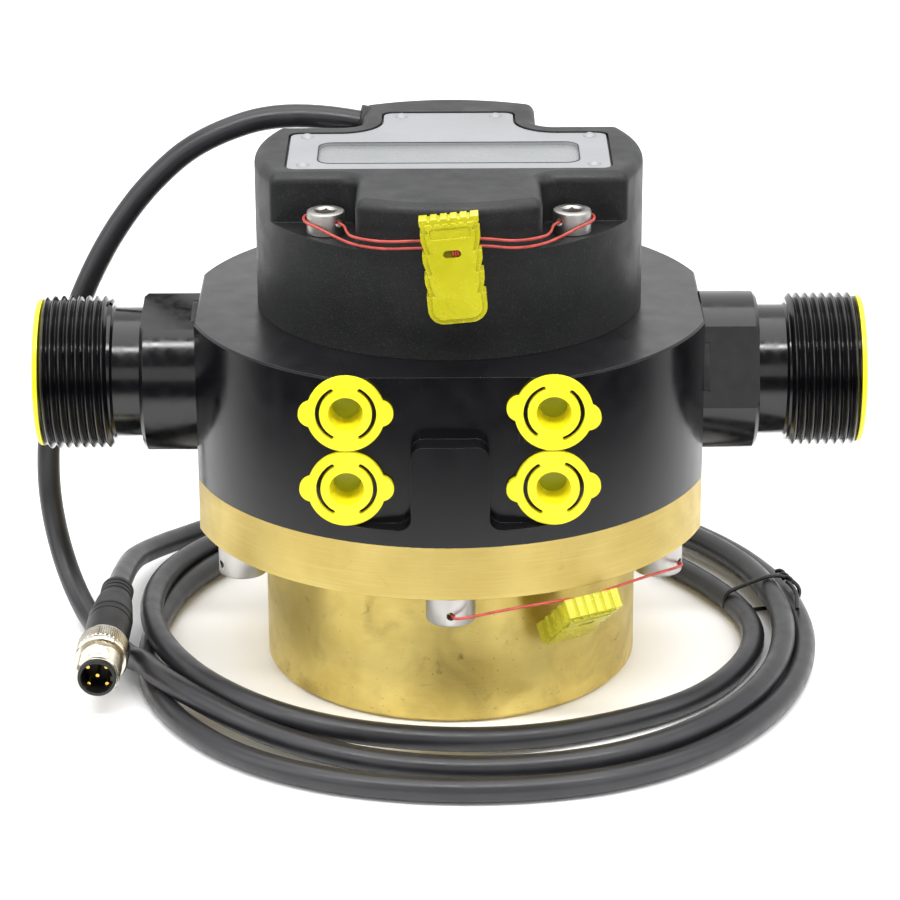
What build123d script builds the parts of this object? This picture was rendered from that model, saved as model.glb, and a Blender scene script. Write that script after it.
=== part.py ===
from build123d import *
import os
from math import cos, hypot, pi, radians, sin, sqrt, tan

# Flow meter for diesel fuel with an oscillating ring piston.
# A brass base holds the measuring chamber, a black anodised aluminium housing
# carries the two pipe fittings, and a moulded cover holds the electronics.
# Millimetres, +Z up, +X along the flow, the mounting face looks along -Y.
# The origin is the middle of the underside of the brass base.

# Stack heights, bottom to top
cup_height = 44.9            # brass cup below its flange
flange_height = 14.5         # brass flange
housing_height = 44.3        # aluminium housing
cover_floor_rise = 28.6      # cover screw pockets above the housing
cover_rise = 41.7            # cover top above the housing
base_floor = 6.0             # brass under the measuring chamber

# Outlines
body_radius = 71.4           # flange and housing
side_flat = body_radius - 3.3     # axis to each side flat
mount_flat = body_radius - 6.7    # axis to the mounting flat
rim_width = 20.1             # flange outside the cup
cup_wall = 6.7
cup_radius = body_radius - rim_width
cup_bore_radius = cup_radius - cup_wall
cup_edge = 1.5               # chamfer under the cup
rim_edge = 0.5               # chamfer round the top of the housing
cover_radius = 52.0

# Mounting pocket and the tongue left standing in it
pocket_sill = 4.4            # pocket floor above the flange joint
tongue_half_width = 10.1
tongue_height = 27.6         # tongue top above the flange joint
tongue_corner = 3.5

# Bracket holes in the mounting flat
bracket_hole_x = 26.6
bracket_hole_rise = 14.5     # lower row above the flange joint
bracket_hole_pitch = 20.5
bracket_thread_radius = 5.0
bracket_mouth_radius = 5.5
bracket_mouth_depth = 7.0
bracket_thread_depth = 14.0

# Bracket hole plugs
plug_flange_radius = 10.1
plug_flange_thickness = 1.6
plug_ear_radius = 3.4
plug_ear_reach = 8.8
plug_shank_length = 6.4
plug_shank_radius = 5.4
plug_tip_radius = 4.5
plug_wall = 0.9
plug_slot_radius = 7.3
plug_slot_width = 1.1
plug_slot_half_angle = 60.0
plug_turns = {"upper_left": 0.0, "lower_left": 0.0, "upper_right": -8.0, "lower_right": 3.0}

# Pipe fittings
port_rise = 23.1             # port axis above the flange joint
port_bore_radius = 13.5
fitting_stub_radius = 16.6
fitting_stub_length = 14.0
fitting_collar_radius = 21.5
fitting_collar_length = 15.3
wrench_half_width = 18.5
fitting_neck_radius = 17.7
fitting_neck_length = 8.1
pipe_thread_radius = 20.955
pipe_thread_length = 19.4
thread_lead_in = 1.3
inlet_flat_angle = -8.4
outlet_flat_angle = -111.0
seal_thickness = 1.8

# Pipe caps
cap_flange_radius = 20.05
cap_flange_thickness = 1.4
cap_shank_length = 12.0
cap_shank_radius = 13.3
cap_tip_radius = 12.6
cap_wall = 1.3
cap_edge = 0.5

# Inlet strainer
strainer_radius = 11.6
strainer_wall = 0.7
strainer_length = 34.0
strainer_rim = 2.0
strainer_slots = 8
strainer_slot_width = 5.0

# Flow passages in the housing
passage_end_x = 17.5
passage_cross_x = 24.5
passage_cross_rise = 17.5    # cross passages above the flange joint
passage_cross_radius = 6.2
passage_port_inset = 11.0    # chamber wall to the line of the two ports
passage_port_radius = 5.0
shaft_well_radius = 12.0
shaft_well_height = 40.0
shaft_radius = 3.0
running_gap = 0.05

# Measuring chamber
chamber_wall = 4.5
chamber_wall_gap = 0.1
piston_wall = 3.9
chamber_floor = 3.0
chamber_height = 38.0
cover_plate_height = 12.4
eccentricity = 6.0
hub_well_radius = 12.0
piston_gap = 0.1
piston_web = 2.0
piston_pin_radius = 3.0
piston_boss_radius = 4.5
piston_vent_inset = 8.05     # inside of the piston wall to the vents
piston_vent_radius = 2.5
partition_thickness = 3.0
crank_thickness = 3.0
crank_width = 12.0
crank_recess_radius = 13.0
crank_recess_depth = 6.0
bridge_radius = 17.5
bridge_thickness = 5.0
magnet_radius = 10.0
magnet_thickness = 6.0
magnet_top_gap = 3.0

# Screws under the flange
flange_screw_count = 6
flange_screw_inset = 6.8     # rim of the flange to the screw axes
flange_screw_radius = 4.0
flange_screw_head_radius = 6.5
flange_screw_head_height = 8.0
flange_screw_key = 6.0
flange_screw_grip = 20.0
flange_hole_gap = 0.4
seal_wire_hole = 1.1
seal_hole_rise = 3.2

# Screws of the cover
cover_screw_inset = 6.745166     # rim of the cover to the circle of its screws
cover_screw_radius = 3.0
cover_screw_head_radius = 5.0
cover_screw_head_height = 6.0
cover_screw_key = 5.0
cover_screw_grip = 12.0
cover_wire_hole_rise = 3.5
cover_hole_gap = 0.3

# Moulded cover
cover_wall = 3.0
band_to_screw = 8.6          # side of the display band to the screw axes
tongue_to_screw = 8.0
cover_corner = 2.5
cover_top_round = 2.8
pocket_corner = 5.0
column_radius = 7.0
plate_recess = 1.1
gasket_inset = 0.8
gasket_width = 1.4
gasket_depth = 1.2

# Face plate
plate_side_wall = 9.3        # cover outside the ends of the plate
plate_near_y = 17.9
plate_far_y = 16.0
plate_tongue_y = 36.6
plate_tongue_half_width = 17.8
plate_sweep_radius = 12.0
plate_corner = 2.6
plate_thickness = 0.8
plate_gap = 0.6
window_side = 8.0            # ends of the plate to the window
window_width = 19.6
window_corner = 4.0
window_y = -2.6
lens_thickness = 1.6
lens_lap = 2.0
rivet_head_radius = 1.8
rivet_head_height = 0.9
rivet_shank_radius = 1.0
rivet_shank_length = 1.6
rivet_insets = ((4.2, 4.2), (4.4, 2.7), (4.8, 3.2))     # in from the edges of the plate

# Electronics inside the cover
board_inset = 15.0           # rim of the cover to the board
board_thickness = 1.6
standoff_height = 6.0
standoff_radius = 2.5
standoff_inset = 6.0
sensor_radius = 4.0
battery_radius = 7.2
battery_inset = 12.0         # rim of the board to the ends of the battery
battery_y = -16.0
display_margin = 2.3
display_thickness = 4.2

# Joint ring between base and housing
joint_seal_inset = 10.6      # circle of the flange screws to the joint ring
joint_seal_section = 1.4

# Signal cable
cable_radius = 3.3
exit_point = (-25.0, 41.8, 141.2)
exit_aim = (-44.5, 41.2, 145.6)
grommet_radius = 4.1
grommet_length = 6.0
cable_boss_radius = 5.0
lead_points = [
    exit_point,
    exit_aim,
    (-70.0, 40.2, 139.6),
    (-85.5, 39.4, 127.2),
    (-97.0, 38.4, 112.5),
    (-105.0, 37.4, 97.0),
    (-110.5, 36.4, 80.5),
    (-113.8, 35.0, 63.5),
    (-115.2, 33.9, 49.5),
    (-115.6, 33.0, 34.1),
    (-112.8, 27.9, 20.0),
    (-107.6, 18.4, 9.2),
    (-100.8, 5.9, 3.3),
    (-93.6, -7.5, 3.3),
    (-88.9, -15.5, 3.3),
]
tail_points = [
    (-63.0, 88.0, 3.4),
    (-78.0, 72.0, 4.4),
    (-89.0, 52.0, 8.0),
    (-94.2, 32.0, 12.0),
    (-94.3, 6.5, 14.2),
]

# Coil of the cable round the base: radii of the three turns and the height of
# their middle line at every thirty degrees, from the left front corner on
spoke_step = 30.0
first_spoke = 210.0
turn_radii = (
    (86.3, 83.6, 85.6, 94.4, 93.9, 93.3, 95.6, 98.5, 99.5, 97.0, 91.0, 84.0),
    (79.8, 78.5, 70.0, 71.0, 80.2, 86.5, 81.5, 82.0, 88.0, 88.0, 85.5, 82.9),
    (90.2, 96.2, 97.2, 101.4, 99.6, 99.0, 101.5, 106.0, 108.0, 108.0, 91.0, 84.0),
)
coil_height = 10.0
tie_spoke = 14.0
tie_wire_radius = 0.8

# Cable connector
connector_face = (-95.1, -48.2, 12.3)
connector_back = (-94.3, 6.5, 14.2)
connector_body_radius = 6.2
connector_neck_radius = 4.6
connector_nut_radius = 7.3
connector_nut_length = 8.6
connector_thread_radius = 6.0
connector_thread_length = 9.5
connector_insert_radius = 5.2
connector_nose = 1.2
connector_pin_radius = 0.5
connector_pin_circle = 3.5
connector_pin_length = 6.5
connector_socket_depth = 8.5

# Seals of the screws
tag_width = 15.2
tag_height = 28.0
tag_thickness = 5.7
tag_corner = 4.2
tag_back = 0.95              # wire holes to the back of the tag
tag_wire_from_top = 7.8
tag_steps = 4
tag_first_step = 3.2
tag_step_pitch = 5.65
tag_step_depth = 0.9
tag_top_bumps = 6
tag_bump_notch = 0.45
tag_rim = 1.3                # band round the raised face of the tag
tag_rim_drop = 0.6
tag_label_length = 10.4
tag_label_width = 2.9
tag_label_depth = 0.3
tag_slot_y = -1.6
tag_slot_length = 4.6
tag_slot_width = 2.2
rotor_radius = 4.4
rotor_cover = 1.6
wire_radius = 0.38
wire_spacing = 1.9
tag_clearance = 0.5
upper_tag_wire_rise = 3.7    # screw pockets to the wires of the upper tag
upper_tag_lean = 5.6
upper_tag_x = 0.6
lower_tag_angle = -59.6
lower_tag_inset = 3.0        # rim of the flange to the wire of the lower tag
lower_tag_drop = 7.0         # flange to the wire of the lower tag
lower_tag_along = (0.91, 0.40, 0.07)
lower_tag_face = (0.29, -0.54, -0.79)

# Heights and places that follow
chamber_radius = cup_bore_radius - chamber_wall_gap - chamber_wall
hub_radius = chamber_radius - 2 * (eccentricity + running_gap) - piston_wall
passage_port_y = chamber_radius - passage_port_inset
flange_screw_circle = body_radius - flange_screw_inset
joint_seal_radius = flange_screw_circle - joint_seal_inset
cover_screw_offset = (cover_radius - cover_screw_inset) / sqrt(2)
band_half_width = cover_screw_offset - band_to_screw
tongue_wall_x = cover_screw_offset - tongue_to_screw
plate_half_length = cover_radius - plate_side_wall
window_length = 2 * (plate_half_length - window_side)
display_length = window_length + 2 * display_margin
board_radius = cover_radius - board_inset
standoff_circle = board_radius - standoff_inset
battery_length = 2 * (board_radius - battery_inset)
display_width = window_width + 2 * display_margin
joint_z = cup_height + flange_height
housing_top = joint_z + housing_height
port_z = joint_z + port_rise
pocket_z = joint_z + pocket_sill
tongue_z = joint_z + tongue_height
cover_floor_z = housing_top + cover_floor_rise
upper_tag_wire_z = cover_floor_z + upper_tag_wire_rise
cover_top = housing_top + cover_rise
roof_z = cover_top - cover_wall
bracket_rows = (joint_z + bracket_hole_rise, joint_z + bracket_hole_rise + bracket_hole_pitch)
fitting_length = fitting_collar_length + fitting_neck_length + pipe_thread_length
piston_outer = chamber_radius - eccentricity - running_gap
piston_inner = hub_radius + eccentricity + running_gap
piston_vent_circle = piston_inner - piston_vent_inset
chamber_z = base_floor + chamber_floor
cover_plate_z = joint_z - cover_plate_height
web_z = (chamber_z + cover_plate_z) / 2 - piston_web / 2
crank_z = joint_z - crank_recess_depth + 1.0
magnet_z = joint_z + shaft_well_height - magnet_top_gap - magnet_thickness
flange_screw_angles = [-90.0 + i * 360.0 / flange_screw_count for i in range(flange_screw_count)]
corners = ((-1, -1), (1, -1), (1, 1), (-1, 1))
reach = 2 * body_radius
os.makedirs("parts", exist_ok=True)


# Small helpers for shapes that repeat

def disc(radius, z0, z1, x=0.0, y=0.0):
    """Round solid between two heights."""
    return Pos(x, y, z0) * extrude(Circle(radius), z1 - z0)


def ring(outer, inner, z0, z1):
    """Round ring between two heights."""
    return Pos(0, 0, z0) * extrude(Circle(outer) - Circle(inner), z1 - z0)


def turned(points):
    """Solid of revolution about Z from (radius, height) corners."""
    return revolve(Plane.XZ * make_face(Polyline(*points, close=True)), Axis.Z)


def on_circle(radius, angle):
    """Point at a radius and an angle in degrees."""
    return radius * cos(radians(angle)), radius * sin(radians(angle))


def hexagon(across_flats):
    """Hexagon with its given width across the flats."""
    return RegularPolygon(across_flats / sqrt(3), 6)


def group(shapes):
    """Separate solids that share one node."""
    return Compound(children=[s for shape in shapes for s in shape.solids()])


def arc_radii(points):
    """Largest tangent arc that each corner of a route allows."""
    route = [Vector(*p) for p in points]
    radii = []
    for before, here, after in zip(route, route[1:], route[2:]):
        turn = radians((here - before).get_angle(after - here))
        shorter = min((here - before).length, (after - here).length)
        radii.append(0.45 * shorter / tan(turn / 2))
    return radii


def tube_along(points, radius, name):
    """Round tube along straight runs that tangent arcs join."""
    radii = arc_radii(points)
    path = FilletPolyline(*points, radius=radii)
    start = Plane(origin=points[0], z_dir=Vector(*points[1]) - Vector(*points[0]))
    tube = sweep(start * Circle(radius), path=path)
    expected = pi * radius ** 2 * path.length
    print(name, "length", round(path.length, 1), "volume share", round(tube.volume / expected, 4),
          "radii", [round(r, 1) for r in radii])
    return tube


def axis_plane(start, end):
    """Plane at a point whose Z runs to another point."""
    return Plane(origin=start, z_dir=Vector(*end) - Vector(*start))


# Brass base

def make_base_cup():
    """Cup, flange with side flats, chamber bore, seal groove and screw holes."""
    shape = turned([
        (0, 0), (cup_radius - cup_edge, 0), (cup_radius, cup_edge), (cup_radius, cup_height),
        (body_radius, cup_height), (body_radius, joint_z), (cup_bore_radius, joint_z),
        (cup_bore_radius, base_floor), (0, base_floor),
    ])
    shape &= Pos(0, 0, joint_z / 2) * Box(2 * side_flat, reach, joint_z + 2)
    groove = joint_seal_section
    shape -= ring(joint_seal_radius + groove + 0.2, joint_seal_radius - groove - 0.2,
                  joint_z - 2 * groove, joint_z)
    for angle in flange_screw_angles:
        x, y = on_circle(flange_screw_circle, angle)
        shape -= disc(flange_screw_radius + flange_hole_gap, cup_height - 1, joint_z + 1, x, y)
    return shape


def make_housing_seal():
    """O-ring in the groove of the flange."""
    section = Pos(joint_seal_radius, joint_z - joint_seal_section) * Circle(joint_seal_section)
    return revolve(Plane.XZ * section, Axis.Z)


def flange_screw(angle):
    """Socket cap screw that clamps base and housing, drilled for the seal wire."""
    x, y = on_circle(flange_screw_circle, angle)
    bottom = cup_height - flange_screw_head_height
    head = disc(flange_screw_head_radius, bottom, cup_height)
    head = chamfer(head.edges().group_by(Axis.Z)[0], 0.6)
    head -= Pos(0, 0, bottom) * extrude(hexagon(flange_screw_key), flange_screw_head_height / 2)
    head -= Pos(0, 0, bottom + seal_hole_rise) * Rot(90, 0, 0) * Cylinder(seal_wire_hole, 4 * flange_screw_head_radius)
    shank = disc(flange_screw_radius - running_gap, cup_height, joint_z + flange_screw_grip)
    return Pos(x, y, 0) * Rot(0, 0, angle + 90) * (head + shank)


# Housing

def mount_pocket():
    """Cut of the mounting flat, with the tongue left standing between the plugs."""
    side = body_radius
    outline = Polyline(
        (-side, pocket_z), (-tongue_half_width, pocket_z), (-tongue_half_width, tongue_z),
        (tongue_half_width, tongue_z), (tongue_half_width, pocket_z), (side, pocket_z),
        (side, housing_top + 5), (-side, housing_top + 5), close=True)
    face = make_face(outline)
    inner = [v for v in face.vertices() if abs(abs(v.X) - tongue_half_width) < 0.01]
    face = fillet(inner, tongue_corner)
    return Plane(origin=(0, -mount_flat, 0), x_dir=(1, 0, 0), z_dir=(0, -1, 0)) * extrude(face, body_radius)


def bracket_hole(x, z):
    """Blind bracket hole with its wider mouth."""
    mouth = Plane(origin=(x, -mount_flat, z), z_dir=(0, 1, 0))
    hole = mouth * extrude(Circle(bracket_mouth_radius), bracket_mouth_depth)
    return hole + mouth * extrude(Circle(bracket_thread_radius), bracket_mouth_depth + bracket_thread_depth)


def flow_passage(side):
    """Port bore from one side flat, its cross passage and the hole down to the chamber."""
    depth = side_flat - passage_end_x
    bore = Plane(origin=(side * side_flat, 0, port_z), z_dir=(-side, 0, 0)) * extrude(
        Circle(port_bore_radius), depth)
    seat = Plane(origin=(side * side_flat, 0, port_z), z_dir=(-side, 0, 0)) * extrude(
        Circle(fitting_stub_radius + running_gap), fitting_stub_length + 1)
    cross_z = joint_z + passage_cross_rise
    start = (side * passage_cross_x, 0, cross_z)
    end = (side * port_hole_x(), passage_port_y, cross_z)
    cross = axis_plane(start, end) * extrude(
        Circle(passage_cross_radius), hypot(passage_cross_x - port_hole_x(), passage_port_y) + 4)
    drop = disc(passage_port_radius, joint_z, cross_z, side * port_hole_x(), passage_port_y)
    return bore + seat + cross + drop


def port_hole_x():
    """Chamber port beside the partition, in the middle of the ring-shaped chamber."""
    middle = (chamber_radius + hub_radius) / 2
    return sqrt(middle ** 2 - passage_port_y ** 2)


def make_housing():
    """Machined housing disc with flats, pocket, ports, wells and tapped holes."""
    outline = Circle(body_radius) & Rectangle(2 * side_flat, reach)
    shape = Pos(0, 0, joint_z) * extrude(outline, housing_height)
    shape = chamfer(shape.edges().group_by(Axis.Z)[-1], rim_edge)
    shape -= mount_pocket()
    for x in (-bracket_hole_x, bracket_hole_x):
        for z in bracket_rows:
            shape -= bracket_hole(x, z)
    for side in (-1, 1):
        shape -= flow_passage(side)
    shape -= disc(bridge_radius + running_gap, joint_z, joint_z + bridge_thickness)
    shape -= disc(shaft_well_radius, joint_z, joint_z + shaft_well_height)
    for angle in flange_screw_angles:
        x, y = on_circle(flange_screw_circle, angle)
        shape -= disc(flange_screw_radius, joint_z, joint_z + flange_screw_grip + 3, x, y)
    for sx, sy in corners:
        shape -= disc(cover_screw_radius, housing_top - cover_screw_grip - 3, housing_top + 1,
                      sx * cover_screw_offset, sy * cover_screw_offset)
    return shape


# Pipe fittings, drawn with Z outward from the side flat

def place_port(shape, side):
    """Stand a port piece on the inlet or the outlet flat."""
    return Location((side * side_flat, 0, port_z), (0, side * 90, 0)) * shape


def pipe_fitting(flat_angle):
    """Screwed fitting: stub, collar with two wrench flats, neck and pipe thread."""
    collar_end = fitting_collar_length
    neck_end = collar_end + fitting_neck_length
    shape = turned([
        (port_bore_radius, -fitting_stub_length), (fitting_stub_radius, -fitting_stub_length),
        (fitting_stub_radius, 0), (fitting_collar_radius, 0), (fitting_collar_radius, collar_end - 1),
        (fitting_collar_radius - 1, collar_end), (fitting_neck_radius, collar_end),
        (fitting_neck_radius, neck_end), (pipe_thread_radius - thread_lead_in, neck_end),
        (pipe_thread_radius, neck_end + thread_lead_in),
        (pipe_thread_radius, fitting_length - thread_lead_in),
        (pipe_thread_radius - thread_lead_in, fitting_length), (port_bore_radius, fitting_length),
    ])
    shape -= ring(fitting_stub_radius + 3.0, fitting_stub_radius - 0.5, -0.01, seal_thickness)
    block = 2 * fitting_collar_radius
    for turn in (0, 180):
        cut = Pos(wrench_half_width + block / 2, 0, collar_end / 2) * Box(block, block, collar_end)
        shape -= Rot(0, 0, flat_angle + turn) * cut
    return shape


def fitting_seal():
    """Rubber ring under the collar of a fitting."""
    return ring(fitting_stub_radius + 2.9, fitting_stub_radius + running_gap, 0, seal_thickness - 0.05)


def pipe_cap():
    """Push-in cap with a flange and a hollow tapered shank."""
    outer = turned([
        (0, -cap_shank_length), (cap_tip_radius, -cap_shank_length), (cap_shank_radius, 0),
        (cap_flange_radius, 0), (cap_flange_radius, cap_flange_thickness - cap_edge),
        (cap_flange_radius - cap_edge, cap_flange_thickness),
        (0, cap_flange_thickness),
    ])
    hollow = turned([
        (0, cap_wall - cap_shank_length), (cap_tip_radius - cap_wall, cap_wall - cap_shank_length),
        (cap_shank_radius - cap_wall, cap_flange_thickness + 0.1), (0, cap_flange_thickness + 0.1),
    ])
    return Pos(0, 0, fitting_length) * (outer - hollow)


def make_inlet_strainer():
    """Slotted strainer basket inside the inlet bore, with its rim against the bore."""
    start = fitting_length - cap_shank_length - 3.0
    tube = ring(strainer_radius, strainer_radius - strainer_wall, start - strainer_length, start)
    end = disc(strainer_radius, start - strainer_length, start - strainer_length + strainer_wall)
    rim = ring(port_bore_radius - running_gap, strainer_radius - strainer_wall, start - strainer_rim, start)
    shape = tube + end + rim
    slot = Pos(strainer_radius, 0, start - strainer_length / 2 - strainer_rim / 2) * Box(
        4, strainer_slot_width, strainer_length - 3 * strainer_rim)
    for i in range(strainer_slots):
        shape -= Rot(0, 0, i * 360 / strainer_slots) * slot
    return shape


# Bracket hole plugs, drawn with Z outward from the mounting flat

def bracket_plug(name, x, z):
    """Pull-tab plug: disc with two ears, tear slots and a hollow tapered shank."""
    face = Circle(plug_flange_radius)
    for side in (-1, 1):
        ear = Pos(side * plug_ear_reach, 0) * Circle(plug_ear_radius)
        face += ear
    for side in (0, 180):
        slot = SlotArc(CenterArc((0, 0), plug_slot_radius, side - plug_slot_half_angle,
                                 2 * plug_slot_half_angle), plug_slot_width)
        face -= slot
    flange = extrude(face, plug_flange_thickness)
    shank = turned([
        (0, -plug_shank_length), (plug_tip_radius, -plug_shank_length), (plug_shank_radius, 0),
        (0, 0),
    ])
    hollow = turned([
        (0, plug_wall - plug_shank_length), (plug_tip_radius - plug_wall, plug_wall - plug_shank_length),
        (plug_shank_radius - plug_wall, plug_flange_thickness + 0.1), (0, plug_flange_thickness + 0.1),
    ])
    seat = Plane(origin=(x, -mount_flat, z), x_dir=(1, 0, 0), z_dir=(0, -1, 0))
    return seat * Rot(0, 0, plug_turns[name]) * (flange + shank - hollow)


# Measuring chamber and its piston

def make_chamber_liner():
    """Chamber floor, wall and lower hub."""
    outer = cup_bore_radius - chamber_wall_gap
    shape = ring(outer, chamber_radius, base_floor, cover_plate_z)
    shape += disc(outer, base_floor, chamber_z)
    return shape + ring(hub_radius, hub_well_radius, chamber_z, web_z - piston_gap)


def make_chamber_cover():
    """Upper hub, ports and the recess of the crank."""
    shape = disc(cup_bore_radius - chamber_wall_gap, cover_plate_z, joint_z)
    shape += disc(hub_radius, web_z + piston_web + piston_gap, cover_plate_z)
    shape -= disc(hub_well_radius, web_z, joint_z)
    shape -= disc(crank_recess_radius, joint_z - crank_recess_depth, joint_z)
    for side in (-1, 1):
        shape -= disc(passage_port_radius, cover_plate_z - 1, joint_z + 1, side * port_hole_x(), passage_port_y)
    return shape


def make_partition_plate():
    """Plate between the inlet and the outlet port, from hub to chamber wall."""
    length = chamber_radius - hub_radius
    height = cover_plate_z - chamber_z
    return Pos(0, hub_radius + length / 2, chamber_z + height / 2) * Box(partition_thickness, length - 0.2, height)


def make_ring_piston():
    """Slotted ring with a web, holes that balance the pressure, and its pin."""
    low = chamber_z + piston_gap
    high = cover_plate_z - piston_gap
    shape = ring(piston_outer, piston_inner, low, high)
    shape += disc(piston_outer, web_z, web_z + piston_web)
    shape += disc(piston_boss_radius, web_z - 2, web_z + piston_web + 2)
    shape += disc(piston_pin_radius, web_z, crank_z + crank_thickness)
    slot_width = partition_thickness + 2 * eccentricity + 0.6
    slot_start = hub_radius - eccentricity - 1.5
    slot = Pos(0, slot_start + reach / 4, (low + high) / 2) * Box(slot_width, reach / 2, high - low + 2)
    shape -= slot
    for angle in (180, 230, 270, 310, 360):
        x, y = on_circle(piston_vent_circle, angle)
        shape -= disc(piston_vent_radius, web_z - 1, web_z + piston_web + 1, x, y)
    return Pos(eccentricity, 0, 0) * shape


def make_piston_crank():
    """Crank arm under a shaft that carries the magnet."""
    arm = Pos(eccentricity / 2, 0, crank_z) * extrude(
        SlotOverall(eccentricity + crank_width, crank_width), crank_thickness)
    arm -= disc(piston_pin_radius + running_gap, crank_z - 1, crank_z + crank_thickness + 1, eccentricity)
    shaft = disc(shaft_radius, crank_z, magnet_z)
    carrier = disc(magnet_radius - 3, magnet_z - 3, magnet_z)
    return arm + shaft + carrier


def make_drive_magnet():
    """Disc magnet on top of the shaft."""
    magnet = disc(magnet_radius, magnet_z, magnet_z + magnet_thickness)
    return chamfer(magnet.edges(), 0.5)


def make_bearing_bridge():
    """Plate that holds the shaft bearing in the housing."""
    return ring(bridge_radius, shaft_radius + 2, joint_z, joint_z + bridge_thickness)


def make_shaft_bush():
    """Plain bearing of the shaft."""
    return ring(shaft_radius + 2, shaft_radius + running_gap, joint_z, joint_z + bridge_thickness)


# Moulded cover

def cross_outline(inset):
    """Cross of the display band and the two tongues inside the cover circle."""
    band = Rectangle(reach, 2 * (band_half_width - inset))
    tongues = Rectangle(2 * (tongue_wall_x - inset), reach)
    face = (band + tongues) & Circle(cover_radius - inset)
    near = min(band_half_width, tongue_wall_x) - inset
    far = max(band_half_width, tongue_wall_x) - inset
    inner = [v for v in face.vertices() if near - 1 < min(abs(v.X), abs(v.Y)) and hypot(v.X, v.Y) < 1.5 * far]
    outer = [v for v in face.vertices() if hypot(v.X, v.Y) > 1.5 * far]
    face = fillet(inner, pocket_corner + inset)
    outer = [v for v in face.vertices() if hypot(v.X, v.Y) > cover_radius - inset - 0.1]
    return fillet(outer, max(cover_corner - inset, 0.4))


def plate_outline(gap=0.0):
    """Outline of the face plate: display band and rear tongue with swept corners."""
    half = plate_half_length + gap
    waist = plate_tongue_half_width + gap
    near = -plate_near_y - gap
    far = plate_far_y + gap
    top = plate_tongue_y + gap
    face = make_face(Polyline(
        (-half, near), (half, near), (half, far), (waist, far), (waist, top),
        (-waist, top), (-waist, far), (-half, far), close=True))
    swept = [v for v in face.vertices() if abs(abs(v.X) - waist) < 0.01 and abs(v.Y - far) < 0.01]
    face = fillet(swept, plate_sweep_radius - gap)
    square = [v for v in face.vertices()
              if (abs(abs(v.X) - half) < 0.01 or abs(v.Y - top) < 0.01) and not_on_sweep(v, far, top, waist, gap)]
    return fillet(square, plate_corner + gap)


def not_on_sweep(vertex, far, top, waist, gap):
    """True for a square corner, false where a swept corner ends."""
    square_y = (-plate_near_y - gap, far, top)
    on_row = any(abs(vertex.Y - y) < 0.01 for y in square_y)
    at_end = abs(abs(vertex.X) - plate_half_length - gap) < 0.01
    at_tongue = abs(abs(vertex.X) - waist) < 0.01 and abs(vertex.Y - top) < 0.01
    return on_row and (at_end or at_tongue)


def window_outline(grow=0.0):
    """Outline of the display window."""
    return Pos(0, window_y) * RectangleRounded(
        window_length + 2 * grow, window_width + 2 * grow, window_corner + grow)


def rivet_spots():
    """Places of the six face plate rivets."""
    (near_x, near_y), (far_x, far_y), (top_x, top_y) = rivet_insets
    places = (
        (plate_half_length - near_x, near_y - plate_near_y),
        (plate_half_length - far_x, plate_far_y - far_y),
        (plate_tongue_half_width - top_x, plate_tongue_y - top_y),
    )
    return [(side * x, y) for x, y in places for side in (-1, 1)]


def exit_plane():
    """Plane of the cable exit, looking out along the cable."""
    return axis_plane(exit_point, exit_aim)


def make_top_cover():
    """Moulded cover: round body, raised cross, screw pockets and hollow inside."""
    shape = disc(cover_radius, housing_top, cover_floor_z)
    raised = Pos(0, 0, cover_floor_z - 1) * extrude(cross_outline(0), cover_top - cover_floor_z + 1)
    raised = fillet(raised.edges().group_by(Axis.Z)[-1], cover_top_round)
    shape += raised
    shape += exit_plane() * extrude(Circle(cable_boss_radius), -cable_boss_radius - 3)
    floor_inside = cover_floor_z - cover_wall
    hollow = disc(cover_radius - cover_wall, housing_top, floor_inside)
    for sx, sy in corners:
        hollow -= disc(column_radius, housing_top - 1, floor_inside + 1,
                       sx * cover_screw_offset, sy * cover_screw_offset)
    hollow += Pos(0, 0, floor_inside - 1) * extrude(cross_outline(cover_wall), roof_z - floor_inside + 1)
    shape -= hollow
    shape -= Pos(0, 0, cover_top - plate_recess) * extrude(plate_outline(plate_gap), plate_recess + 1)
    shape -= Pos(0, 0, cover_top - plate_recess - lens_thickness) * extrude(
        window_outline(lens_lap), lens_thickness + 0.1)
    shape -= Pos(0, 0, roof_z - 1) * extrude(window_outline(-1.0), cover_wall)
    for x, y in rivet_spots():
        shape -= disc(rivet_shank_radius + running_gap, roof_z + 0.2, cover_top, x, y)
    shape -= exit_plane() * extrude(Circle(grommet_radius), -cable_boss_radius - 6)
    for sx, sy in corners:
        shape -= disc(cover_screw_radius + cover_hole_gap, housing_top - 1, cover_top,
                      sx * cover_screw_offset, sy * cover_screw_offset)
    return shape - make_cover_gasket()


def make_cover_gasket():
    """Square-section gasket in the foot of the cover."""
    outer = cover_radius - gasket_inset
    return ring(outer, outer - gasket_width, housing_top, housing_top + gasket_depth)


def cover_screw(sx, sy):
    """Socket cap screw of the cover, drilled for the seal wire."""
    top = cover_floor_z + cover_screw_head_height
    head = disc(cover_screw_head_radius, cover_floor_z, top)
    head = chamfer(head.edges().group_by(Axis.Z)[-1], 0.5)
    head -= Pos(0, 0, top - cover_screw_head_height / 2) * extrude(
        hexagon(cover_screw_key), cover_screw_head_height / 2)
    cross_hole = Rot(0, 0, 45 * sx * sy) * Rot(90, 0, 0) * Cylinder(seal_wire_hole, 4 * cover_screw_head_radius)
    head -= Pos(0, 0, cover_floor_z + cover_wire_hole_rise) * cross_hole
    shank = disc(cover_screw_radius - running_gap, housing_top - cover_screw_grip, cover_floor_z)
    return Pos(sx * cover_screw_offset, sy * cover_screw_offset, 0) * (head + shank)


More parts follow.
